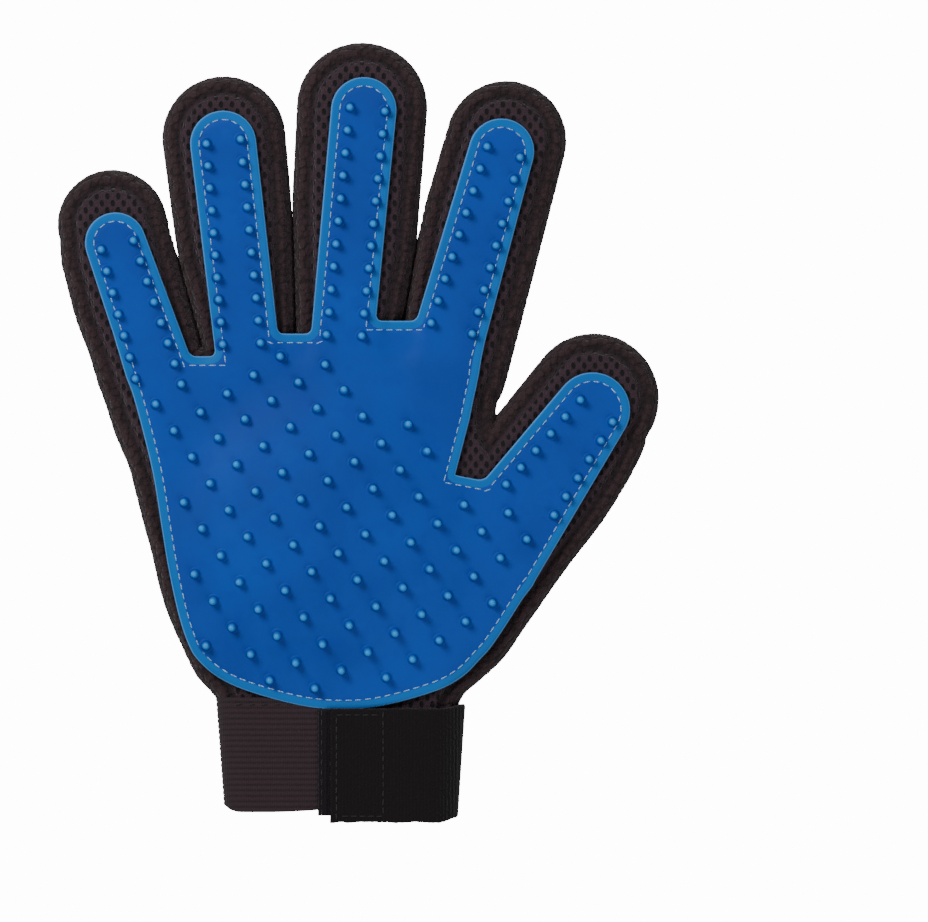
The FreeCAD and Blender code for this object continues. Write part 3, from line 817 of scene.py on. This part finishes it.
# ---- glove ----
def make_glove():
    """The fabric, made in two halves so that fingers that touch stay apart."""
    xs = np.arange(-95, 95.01, STEP)
    ys = np.arange(HEM_END - 1.2, 122, STEP)
    zs = np.arange(-1.2, CROWN_TOP + 2, STEP)
    for own in (("pinky", "middle", "thumb"), ("ring", "index")):
        low_y = 0 if "pinky" in own else int(np.searchsorted(ys, 20.0))
        some_y = ys[low_y:]
        field = mesh_field(xs, some_y, zs, own)
        points, quads, normals = surface_net(field, np.array([xs[0], some_y[0], zs[0]]), STEP)
        middle = points[quads].mean(1)
        region = region_of(middle[:, 0], middle[:, 1])
        walls = region_of(middle[:, 0], middle[:, 1], WALL_ROOM, own)
        region = np.where((middle[:, 1] > CROTCH_Y) & (walls > 0), walls, region)
        d = glove_inside(points[:, 0], points[:, 1])
        face_d = d[quads].mean(1)
        front = (face_d > GROOVE_IN) & (middle[:, 2] > SIDE_Z)
        flat = smoothstep((d - GROOVE_IN) / 1.2) * smoothstep((np.abs(normals[:, 2]) - 0.5) * 4)
        # seam marks the groove beside the puffed rim, where the mesh paint puts painted shade
        seam = np.exp(-((d - GROOVE_IN) / 0.8) ** 2) * (points[:, 2] > SIDE_Z)
        numbers = [0] if "pinky" in own else []
        for k, finger in enumerate(FINGERS):
            numbers += [1 + 2 * k, 2 + 2 * k] if finger in own else []
        numbers += [WEB_REGION] if "thumb" in own else []
        for number in numbers:
            for kind, side in (("front_mesh", front), ("back_mesh", ~front)):
                chosen = side & (region == number)
                if not chosen.any():
                    continue
                p, f, (n, r, v) = take(points, quads, chosen, normals, 1 - flat, seam)
                name, node = region_name(number, kind)
                obj = make_object(name, p, f.tolist(), n, values={"rim": r, "seam": v})
                place(obj, kind, node, number)


def tube_faces(base, sides, rings):
    """Quads of a tube whose rings of points are numbered from base, one ring after another."""
    faces = []
    for ring in range(rings - 1):
        a, b = base + ring * sides, base + (ring + 1) * sides
        for q in range(sides):
            w = (q + 1) % sides
            faces.append((a + q, b + q, b + w, a + w))
    return faces


# ---- pad ----
def slope_of(field, x, y, reach=0.05):
    gx = (field(x + reach, y) - field(x - reach, y)) / (2 * reach)
    gy = (field(x, y + reach) - field(x, y - reach)) / (2 * reach)
    return gx, gy


def pad_top(x, y, edge):
    """Height of the pad's face, edge millimetres inside its outline."""
    groove = 0.1 * np.exp(-((edge - STITCH_IN) / 0.5) ** 2)
    lip = 0.12 * np.exp(-((edge - 0.9) / 0.6) ** 2)
    rounding = 0.55 * (1 - np.sqrt(np.clip(edge / 0.7, 0, 1) * (2 - np.clip(edge / 0.7, 0, 1))))
    return seat_height(x, y) + PAD - groove + lip - rounding


RING_DEPTHS = [0.0, 0.1, 0.25, 0.45, 0.7, 1.2, 1.9, 2.3, 2.55, 2.8, 3.05, 3.3, 3.8]


def pad_sheet():
    """Points, triangles and edge distances of the pad without its nubs."""
    outline = spaced(PAD_LOOP, 0.8)[0]
    n = len(outline)
    before, after = np.roll(outline, 3, 0), np.roll(outline, -3, 0)
    turn = after - before
    inward = unit(np.stack([-turn[:, 1], turn[:, 0]], 1))
    rings = [(outline + inward * depth).T for depth in RING_DEPTHS]
    points = [np.stack([*rings[0], seat_height(*rings[0])], 1)]
    edges = [np.zeros(n)]
    for depth, (rx, ry) in zip(RING_DEPTHS, rings):
        edge = np.full(n, depth)
        points.append(np.stack([rx, ry, pad_top(rx, ry, edge)], 1))
        edges.append(edge)
    faces = []
    around = np.arange(n)
    after = (around + 1) % n
    for k in range(len(points) - 1):
        a, b = k * n, (k + 1) * n
        faces += np.stack([a + around, a + after, b + after, b + around], 1).tolist()
    inner = np.stack(rings[-1], 1)
    gx, gy = np.meshgrid(np.arange(-84, 90, 2.4), np.arange(-84, 110, 2.4), indexing="ij")
    gx, gy = gx.ravel() + 0.6 * np.sin(gy.ravel()), gy.ravel()
    inside = pad_inside(gx, gy) > RING_DEPTHS[-1] + 1.0
    cloud = np.vstack([inner, np.stack([gx[inside], gy[inside]], 1)])
    made = delaunay_2d_cdt([Vector(q) for q in cloud], [], [list(range(n))], 1, 1e-6)
    flat_points = np.array([tuple(q) for q in made[0]])
    triangles = np.array(made[2])
    a, b, c = (flat_points[triangles[:, k]] for k in range(3))
    turn = (b[:, 0] - a[:, 0]) * (c[:, 1] - a[:, 1]) - (b[:, 1] - a[:, 1]) * (c[:, 0] - a[:, 0])
    triangles = np.where(turn[:, None] > 0, triangles, triangles[:, ::-1])
    base = sum(len(p) for p in points)
    source = np.array([s[0] if s else -1 for s in made[3]])
    number = np.where((source >= 0) & (source < n), base - n + source, -1)
    fresh = np.flatnonzero(number < 0)
    number[fresh] = base + np.arange(len(fresh))
    fx, fy = flat_points[fresh].T
    edge = np.maximum(pad_inside(fx, fy), RING_DEPTHS[-1])
    points.append(np.stack([fx, fy, pad_top(fx, fy, edge)], 1))
    edges.append(edge)
    faces += number[triangles].tolist()
    base = sum(len(p) for p in points)
    points.append(np.stack([*flat_points.T, seat_height(*flat_points.T)], 1))
    edges.append(np.zeros(len(flat_points)))
    faces += (triangles[:, ::-1] + base).tolist()
    under = np.full(n, -1)
    known = (source >= 0) & (source < n)
    under[source[known]] = base + np.flatnonzero(known)
    faces += np.stack([around, under, under[after], after], 1).tolist()
    return np.vstack(points), faces, np.concatenate(edges)


def nub_places():
    """Every nub's x and y: two columns on each finger, a turned square grid on the palm.

    The last test keeps the grid off the thumb, but its line runs on across the upper palm beside
    the index finger and leaves out the nubs there too.
    """
    columns = []
    for pair in NUB_COLUMNS.values():
        for first, last, count in pair:
            t = np.linspace(0, 1, count)[:, None]
            columns.append(np.array(first) * (1 - t) + np.array(last) * t)
    columns = np.vstack(columns)
    i, j = np.meshgrid(np.arange(-12, 13), np.arange(-12, 13))
    i, j = i.ravel(), j.ravel()
    x = NUB_ORIGIN[0] + NUB_PITCH * (i * math.cos(NUB_TURN) + j * math.sin(NUB_TURN))
    y = NUB_ORIGIN[1] + NUB_PITCH * (i * math.sin(NUB_TURN) - j * math.cos(NUB_TURN))
    near = np.hypot(x[:, None] - columns[:, 0], y[:, None] - columns[:, 1]).min(1)
    palm = (pad_inside(x, np.minimum(y, 20)) > 4.6) & (near > 5.5) & (y < 26)
    palm &= BENDS["thumb"].distance(x, y) < 0
    return np.vstack([columns, np.stack([x, y], 1)[palm]])


NUB_PROFILE = [(2.3, -0.06), (1.95, 0.03), (1.7, 0.14), (1.52, 0.4), (1.4, 0.8), (1.27, 1.4),
               (1.15, 2.0), (1.06, 2.6), (0.98, 2.95), (0.82, 3.27), (0.6, 3.45), (0.32, 3.57)]


def nub_shapes(places):
    """All nubs as one set of points and faces, with their heights."""
    sides = 16
    angle = np.arange(sides) * 2 * math.pi / sides
    gx, gy = slope_of(crown_height, places[:, 0], places[:, 1], 0.5)
    normal = unit(np.stack([-gx, -gy, np.ones(len(gx))], 1))
    side = unit(np.cross(normal, np.array([0.0, 1.0, 0.0])))
    third = np.cross(normal, side)
    edge = pad_inside(places[:, 0], places[:, 1])
    foot = np.stack([places[:, 0], places[:, 1], pad_top(places[:, 0], places[:, 1], edge)], 1)
    rng = np.random.default_rng(7)
    lean = rng.normal(0, 0.05, (len(places), 2))
    points, heights, faces = [], [], []
    for k in range(len(places)):
        base = k * (sides * len(NUB_PROFILE) + 1)
        rows = []
        for r, h in NUB_PROFILE:
            shift = lean[k] * h * 0.3
            ring = foot[k] + normal[k] * h + side[k] * shift[0] + third[k] * shift[1]
            spokes = np.cos(angle)[:, None] * side[k] + np.sin(angle)[:, None] * third[k]
            rows.append(ring + spokes * r)
        top = foot[k] + normal[k] * NUB_H
        points.append(np.vstack(rows + [top]))
        heights.append(np.concatenate([np.full(sides, h) for _, h in NUB_PROFILE] + [[NUB_H]]))
        faces += [f[::-1] for f in tube_faces(base, sides, len(NUB_PROFILE))]
        last = base + (len(NUB_PROFILE) - 1) * sides
        peak = base + len(NUB_PROFILE) * sides
        faces += [(last + q, last + (q + 1) % sides, peak) for q in range(sides)]
    return np.vstack(points), faces, np.concatenate(heights)


def split_faces(points, faces):
    """Each face's region number, by where its middle lies; the pad has no piece for the web."""
    centre = np.array([points[list(f), :2].mean(0) for f in faces])
    region = region_of(centre[:, 0], centre[:, 1])
    return np.where(region == WEB_REGION, THUMB_ROOT, region)


def part_object(name, points, faces, chosen, values, normals=None):
    """An object from some of the faces, with the values of the points that they use."""
    picked = [f for f, c in zip(faces, chosen) if c]
    used = np.unique(np.concatenate([np.array(f) for f in picked]))
    renumber = np.full(len(points), -1)
    renumber[used] = np.arange(len(used))
    local = [tuple(renumber[list(f)]) for f in picked]
    kept = {k: v[used] for k, v in values.items()}
    return make_object(name, points[used], local, None if normals is None else normals[used],
                       values=kept)


def point_normals(points, faces):
    """Area-weighted normals of a whole surface, so that cut pieces still look joined."""
    normals = np.zeros_like(points)
    for size in (3, 4):
        group = np.array([f for f in faces if len(f) == size])
        if len(group):
            a, b, c = (points[group[:, k]] for k in (0, 1, 2))
            face = np.cross(b - a, c - a)
            if size == 4:
                face = face + np.cross(c - a, points[group[:, 3]] - a)
            for k in range(size):
                np.add.at(normals, group[:, k], face)
    return unit(normals)


def make_pad():
    points, faces, edges = pad_sheet()
    normals = point_normals(points, faces)
    sheet_region = split_faces(points, faces)
    places = nub_places()
    nubs, nub_faces, heights = nub_shapes(places)
    nub_normals = point_normals(nubs, nub_faces)
    nub_region = region_of(places[:, 0], places[:, 1])
    per_nub = len(nub_faces) // len(places)
    shift = len(points)
    all_points = np.vstack([points, nubs])
    all_faces = list(faces) + [tuple(shift + v for v in f) for f in nub_faces]
    all_region = np.concatenate([sheet_region, np.repeat(nub_region, per_nub)])
    # tip holds the nubs' heights, used for the painted highlight on their tops
    values = {"edge": np.concatenate([edges, np.full(len(nubs), 9.0)]),
              "tip": np.concatenate([np.zeros(len(points)), np.maximum(heights, 0)])}
    all_normals = np.vstack([normals, nub_normals])
    for number in range(WEB_REGION):
        name, node = region_name(number, "rubber_pad")
        obj = part_object(name, all_points, all_faces, all_region == number, values, all_normals)
        place(obj, "rubber_pad", node, number)


# ---- thread ----
def thread_shapes(places, turns, ups, length, radius, arch):
    """Short arched stitches as one set of points and faces."""
    sides, rings = 8, 7
    angle = np.arange(sides) * 2 * math.pi / sides
    points, faces = [], []
    for k, (place, turn, up) in enumerate(zip(places, turns, ups)):
        across = np.cross(up, turn)
        for ring in range(rings):
            t = ring / (rings - 1) * 2 - 1
            size = radius * math.sqrt(max(0.02, 1 - abs(t) ** 5))
            middle = place + turn * (t * length / 2) + up * (arch * (1 - t * t) - 0.05)
            spokes = np.cos(angle)[:, None] * across + np.sin(angle)[:, None] * up
            points.append(middle + spokes * size)
        base = k * sides * rings
        faces += tube_faces(base, sides, rings)
        faces.append(tuple(base + q for q in range(sides)))
        faces.append(tuple(base + (rings - 1) * sides + q for q in range(sides))[::-1])
    return np.vstack(points), faces


def inset_chain(loop, reach):
    """A loop moved inwards, with its corners at the webs kept square."""
    turn = unit(np.roll(loop, -2, 0) - np.roll(loop, 2, 0))
    moved = loop + np.stack([-turn[:, 1], turn[:, 0]], 1) * reach
    before, after = np.roll(turn, 3, 0), np.roll(turn, -3, 0)
    bend = before[:, 0] * after[:, 1] - before[:, 1] * after[:, 0]
    kept = (bend > -0.28) & (pad_inside(moved[:, 0], moved[:, 1], loop) > reach - 0.12)
    p, t = moved[kept], turn[kept]
    chain = []
    for k in range(len(p)):
        a, b = k - 1, k
        gap = p[b] - p[a]
        cross = t[a][0] * t[b][1] - t[a][1] * t[b][0]
        if np.hypot(*gap) > 1.5 and cross < -0.3:
            run = (gap[0] * t[b][1] - gap[1] * t[b][0]) / cross
            if 0 < run < 8:
                chain.append(p[a] + t[a] * run)
        chain.append(p[k])
    return np.array(chain)


def make_pad_stitching():
    flat, turn = spaced(inset_chain(PAD_LOOP_SHARP, STITCH_IN), 3.0)
    edge = np.full(len(flat), STITCH_IN)
    z = pad_top(flat[:, 0], flat[:, 1], edge)
    gx, gy = slope_of(seat_height, flat[:, 0], flat[:, 1], 0.5)
    up = unit(np.stack([-gx, -gy, np.ones(len(gx))], 1))
    run = unit(np.stack([turn[:, 0], turn[:, 1], gx * turn[:, 0] + gy * turn[:, 1]], 1))
    places = np.stack([flat[:, 0], flat[:, 1], z + 0.1], 1)
    region = region_of(flat[:, 0], flat[:, 1])
    for number in range(WEB_REGION):
        mine = region == number
        points, faces = thread_shapes(places[mine], run[mine], up[mine], 2.2, 0.2, 0.08)
        name, node = region_name(number, "pad_stitching")
        obj = make_object(name, points, faces)
        place(obj, "pad_stitching", node, number)


# ---- bands ----
def band(name, path, normals, low, high, rows, thick, rib=None, shift=None):
    """A strip with thickness: path in XZ, running from low to high in Y at each path point.

    rib(y) is the height of its ribs from 0 to 1; shift(x, y) moves its points along X.
    """
    n = len(path)
    t = np.linspace(0, 1, rows)
    ys = low[:, None] * (1 - t) + high[:, None] * t
    ribs = rib(ys) if rib else np.zeros((n, rows))
    edge_in = np.minimum(t, 1 - t) * (high - low).mean()
    round_off = 0.35 * (1 - np.clip(edge_in / 0.5, 0, 1)) ** 2
    half = thick / 2 + 0.24 * (ribs - 0.75) * (rib is not None) - round_off
    sheets = []
    for sign in (1, -1):
        x = path[:, 0][:, None] + sign * normals[:, 0][:, None] * half
        z = path[:, 1][:, None] + sign * normals[:, 1][:, None] * half
        if shift:
            x = x + shift(x, ys)
        sheets.append(np.stack([x, ys, z], 2).reshape(-1, 3))
    points = np.vstack(sheets)
    m = n * rows
    i, j = np.meshgrid(np.arange(n - 1), np.arange(rows - 1), indexing="ij")
    a = (i * rows + j).ravel()
    outer = np.stack([a, a + 1, a + rows + 1, a + rows], 1)
    faces = outer.tolist() + (outer[:, ::-1] + m).tolist()
    for k in range(n - 1):
        p, q = k * rows, (k + 1) * rows
        faces.append((p, q, q + m, p + m))
        p, q = p + rows - 1, q + rows - 1
        faces.append((q, p, p + m, q + m))
    for k in range(rows - 1):
        faces.append((k + 1, k, k + m, k + 1 + m))
        p = (n - 1) * rows + k
        faces.append((p, p + 1, p + 1 + m, p + m))
    values = {"edge": np.tile(edge_in[None, :].repeat(n, 0).ravel(), 2),
              "rib": np.tile(ribs.ravel(), 2)}
    return make_object(name, points, faces, values=values)


def flat_loop(start_x, left, right, low, high, end_x, pitch=0.8):
    """Path in XZ round a flattened loop: along its top, round one or both folds, along its bottom.

    The path runs from start_x on the top to the fold at left (or right) and back to end_x below.
    """
    radius = (high - low) / 2
    middle = (high + low) / 2
    sign = -1 if left is not None else 1
    fold = (left + radius) if left is not None else (right - radius)
    top = np.arange(0, abs(start_x - fold), pitch)
    xs = list(start_x + sign * top)
    zs = [high] * len(xs)
    count = max(12, int(math.pi * radius / pitch))
    for k in range(count + 1):
        a = math.pi * k / count
        xs.append(fold + sign * radius * math.sin(a))
        zs.append(middle + radius * math.cos(a))
    below = np.arange(pitch, abs(end_x - fold), pitch)
    xs += list(fold - sign * below)
    zs += [low] * len(below)
    path = np.array([xs, zs]).T
    ahead = unit(np.gradient(path, axis=0))
    normals = np.stack([ahead[:, 1], -ahead[:, 0]], 1) * (1 if sign > 0 else -1)
    normals = np.where((normals[:1, 1] > 0), normals, -normals)
    return path, normals


def make_elastic():
    low, high = box_mm("wrist_elastic")
    thick = 1.4
    pitch = 1.68
    path, normals = flat_loop(4.0, low[0] + thick / 2, None, low[2] + thick / 2,
                              high[2] - thick / 2, 20.0, 0.5)
    x = path[:, 0]
    from_fold = np.clip((x - low[0]) / 5.5, 0, 1)
    corner = 4.0 * (1 - np.sqrt(1 - (1 - from_fold) ** 2))
    bow = 0.9 * (np.clip(x + 28, 0, 40) / 18) ** 2
    y0 = low[1] + 0.1 + corner + np.minimum(bow, 0.9)
    y1 = np.full(len(path), high[1] + 0.6)

    def rib(y):
        return np.abs(np.sin(math.pi * (y - low[1]) / pitch)) ** 0.8

    def shift(x, y):
        return 2.6 * smoothstep((-24 - x) / 16) * np.clip((high[1] - y) / 35, 0, 1)
    obj = band("wrist_elastic_look", path, normals, y0, y1, 161, thick, rib, shift)
    place(obj, "elastic", "wrist_elastic", "palm")


def make_strap():
    flap_low, flap_high = box_mm("closure_strap_flap")
    base_low, base_high = box_mm("closure_strap_base")
    thick = flap_high[2] - flap_low[2]
    hinge = np.array(JOINTS["strap_lift"]["pos_m"]) / MM
    path, normals = flat_loop(flap_low[0], None, base_high[0] - thick / 2, base_low[2] + thick / 2,
                              flap_high[2] - thick / 2, base_low[0], 0.6)
    x = path[:, 0]
    fold = smoothstep((x - 24) / 9)
    rng = np.random.default_rng(3)
    fray = np.convolve(rng.normal(0, 0.5, len(x) + 8), np.ones(5) / 5, "same")[4:-4]
    y0 = flap_low[1] + 0.25 + 1.5 * fold ** 2 + 0.6 * fray
    y1 = flap_high[1] - 0.2 + 1.3 * fold ** 2

    def shift(x, y):
        return -2.3 * smoothstep((x - 18) / 14) * np.clip((flap_high[1] - y) / 35, 0, 1)
    full = band("strap_whole", path, normals, y0, y1, 72, thick, shift=shift)
    points = np.array([v.co for v in full.data.vertices]) / MM
    lumps = ripple(points[:, 0], points[:, 1], points[:, 2], 1.9)
    points[:, 2] += 0.05 * lumps
    points[:, 0] += 0.04 * lumps
    faces = [tuple(f.vertices) for f in full.data.polygons]
    edge = np.zeros(len(points))
    full.data.attributes["edge"].data.foreach_get("value", edge)
    bpy.data.objects.remove(full)
    normals3 = point_normals(points, faces)
    centre = np.array([points[list(f)].mean(0) for f in faces])
    flap = (centre[:, 2] > hinge[2] - 3) & (centre[:, 0] < hinge[0] + 5)
    for name, chosen, node in (("closure_strap_flap_look", flap, "closure_strap_flap"),
                               ("closure_strap_base_look", ~flap, "closure_strap_base")):
        obj = part_object(name, points, faces, chosen, {"edge": edge}, normals3)
        paint(obj, "strap")
        if node == "closure_strap_flap":
            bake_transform(obj)
        else:
            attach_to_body(obj, "palm")
        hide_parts(node)


def tape(name, node, key, body, nap):
    low, high = box_mm(node)
    xs = np.arange(low[0], high[0] + 0.01, 0.5)
    thick = high[2] - low[2]
    path = np.stack([xs, np.full(len(xs), (low[2] + high[2]) / 2)], 1)
    normals = np.stack([np.zeros(len(xs)), np.ones(len(xs))], 1)
    y0 = np.full(len(xs), low[1])
    y1 = np.full(len(xs), high[1])
    obj = band(name, path, normals, y0, y1, 66, thick)
    count = len(obj.data.vertices)
    co = np.zeros(count * 3)
    obj.data.vertices.foreach_get("co", co)
    co = co.reshape(-1, 3)
    mm = co / MM
    co[:, 2] += nap * MM * ripple(mm[:, 0], mm[:, 1], mm[:, 2], 1.3)
    obj.data.vertices.foreach_set("co", co.ravel())
    place(obj, key, node, body)


def make_hooks():
    """The small hooks on the underside of the hook tape."""
    low, high = box_mm("hook_tape")
    points, faces = [], []
    sides, rings = 6, 7
    angle = np.arange(sides) * 2 * math.pi / sides
    k = 0
    for x in np.arange(low[0] + 1.6, high[0] - 1.2, 1.35):
        for y in np.arange(low[1] + 1.6, high[1] - 1.2, 1.35):
            lean = 1 if k % 2 else -1
            for ring in range(rings):
                t = ring / (rings - 1)
                a = math.pi * 1.15 * max(0.0, t - 0.35) / 0.65
                rise = 0.35 * min(t, 0.35) / 0.35 + 0.22 * math.sin(a)
                reach = 0.22 * (1 - math.cos(a))
                middle = np.array([x, y + lean * reach, low[2] + 0.05 - rise])
                lean_dir = np.array([0, lean * math.sin(a), -math.cos(a)])
                side = np.array([1.0, 0, 0])
                other = np.cross(side, lean_dir)
                points.append(middle + 0.11 * (np.cos(angle)[:, None] * side
                                               + np.sin(angle)[:, None] * other))
            base = k * sides * rings
            faces += tube_faces(base, sides, rings)
            faces.append(tuple(base + (rings - 1) * sides + q for q in range(sides)))
            k += 1
    obj = make_object("hook_tape_hooks", np.vstack(points), faces)
    paint(obj, "hook_tape")
    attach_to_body(obj, "strap_flap")


def make_row(name, node, body, chain, z, length, radius, pitch):
    """A row of dark stitches along a chain of points."""
    closed = chain[0] == chain[-1]
    flat, turn = spaced(np.array(chain[:-1] if closed else chain, float), pitch, closed)
    places = np.stack([flat[:, 0], flat[:, 1], np.full(len(flat), z)], 1)
    turns = np.stack([turn[:, 0], turn[:, 1], np.zeros(len(turn))], 1)
    turns[np.linalg.norm(turns, axis=1) < 0.5] = turns[0]
    ups = np.tile([0.0, 0.0, 1.0], (len(flat), 1))
    points, faces = thread_shapes(places, turns, ups, length, radius, 0.12)
    obj = make_object(name, points, faces)
    place(obj, "black_thread", node, body)


def make_cuff():
    make_elastic()
    make_strap()
    tape("loop_tape_look", "loop_tape", "loop_tape", "palm", 0.1)
    tape("hook_tape_look", "hook_tape", "hook_tape", "strap_flap", 0.02)
    make_hooks()
    low, high = box_mm("hook_tape")
    top = box_mm("closure_strap_flap")[1][2] + 0.05
    corners = [(low[0] + 1, low[1] + 1), (low[0] + 1, high[1] - 1), (high[0] - 1, high[1] - 1),
               (high[0] - 1, low[1] + 1), (low[0] + 1, low[1] + 1)]
    make_row("hook_tape_stitching_look", "hook_tape_stitching", "strap_flap", corners, top,
             2.0, 0.16, 2.6)
    low, high = box_mm("loop_tape")
    make_row("loop_tape_stitching_look", "loop_tape_stitching", "palm",
             [(low[0] + 1.2, low[1] + 1), (low[0] + 1.2, high[1] - 1)], high[2] + 0.05,
             1.9, 0.16, 2.6)
    low, high = box_mm("cuff_seam_stitching")
    make_row("cuff_seam_stitching_look", "cuff_seam_stitching", "palm",
             [(low[0] - 3, low[1]), (high[0] + 4, low[1])], low[2] + 0.25, 2.0, 0.2, 2.6)


# ---- light and camera ----
def make_light(name, place, size, power):
    data = bpy.data.lights.new(name, "AREA")
    data.energy = power
    data.size = size
    obj = bpy.data.objects.new(name, data)
    obj.location = place
    obj.rotation_mode = "QUATERNION"
    obj.rotation_quaternion = (-Vector(place)).to_track_quat("-Z", "Y")
    bpy.context.scene.collection.objects.link(obj)


def make_surroundings():
    """White where the camera looks past the glove, softer light from above on the glove itself."""
    world = bpy.data.worlds.new("white")
    bpy.context.scene.world = world
    world.use_nodes = True
    tree = world.node_tree
    tree.nodes.clear()
    made = {kind: tree.nodes.new("ShaderNode" + kind) for kind in (
        "OutputWorld", "MixShader", "LightPath", "TexCoord", "SeparateXYZ", "MapRange")}
    seen, felt = (tree.nodes.new("ShaderNodeBackground") for _ in range(2))
    for background in (seen, felt):
        background.inputs["Color"].default_value = (1, 1, 1, 1)
    seen.inputs["Strength"].default_value = 14.0
    for socket, value in enumerate((-1.0, 1.0, 0.1, 0.4), 1):
        made["MapRange"].inputs[socket].default_value = value
    for start, end in ((made["TexCoord"].outputs["Generated"], made["SeparateXYZ"].inputs[0]),
                       (made["SeparateXYZ"].outputs[2], made["MapRange"].inputs[0]),
                       (made["MapRange"].outputs[0], felt.inputs["Strength"]),
                       (made["LightPath"].outputs["Is Camera Ray"], made["MixShader"].inputs[0]),
                       (felt.outputs[0], made["MixShader"].inputs[1]),
                       (seen.outputs[0], made["MixShader"].inputs[2]),
                       (made["MixShader"].outputs[0], made["OutputWorld"].inputs[0])):
        tree.links.new(start, end)
    make_light("key", (-0.6, 0.6, 0.9), 0.45, 11)
    make_light("fill", (0.5, -0.7, 1.0), 0.9, 5)


def make_camera():
    data = bpy.data.cameras.new("camera")
    distance = 5.0
    width = 0.283
    data.sensor_width = 36
    data.lens = 36 * distance / width
    data.clip_end = 50
    obj = bpy.data.objects.new("camera", data)
    obj.location = (0.0326, -0.0085, distance + 0.01)
    bpy.context.scene.collection.objects.link(obj)
    bpy.context.scene.camera = obj


make_glove()
make_pad()
make_pad_stitching()
make_cuff()
make_surroundings()
make_camera()
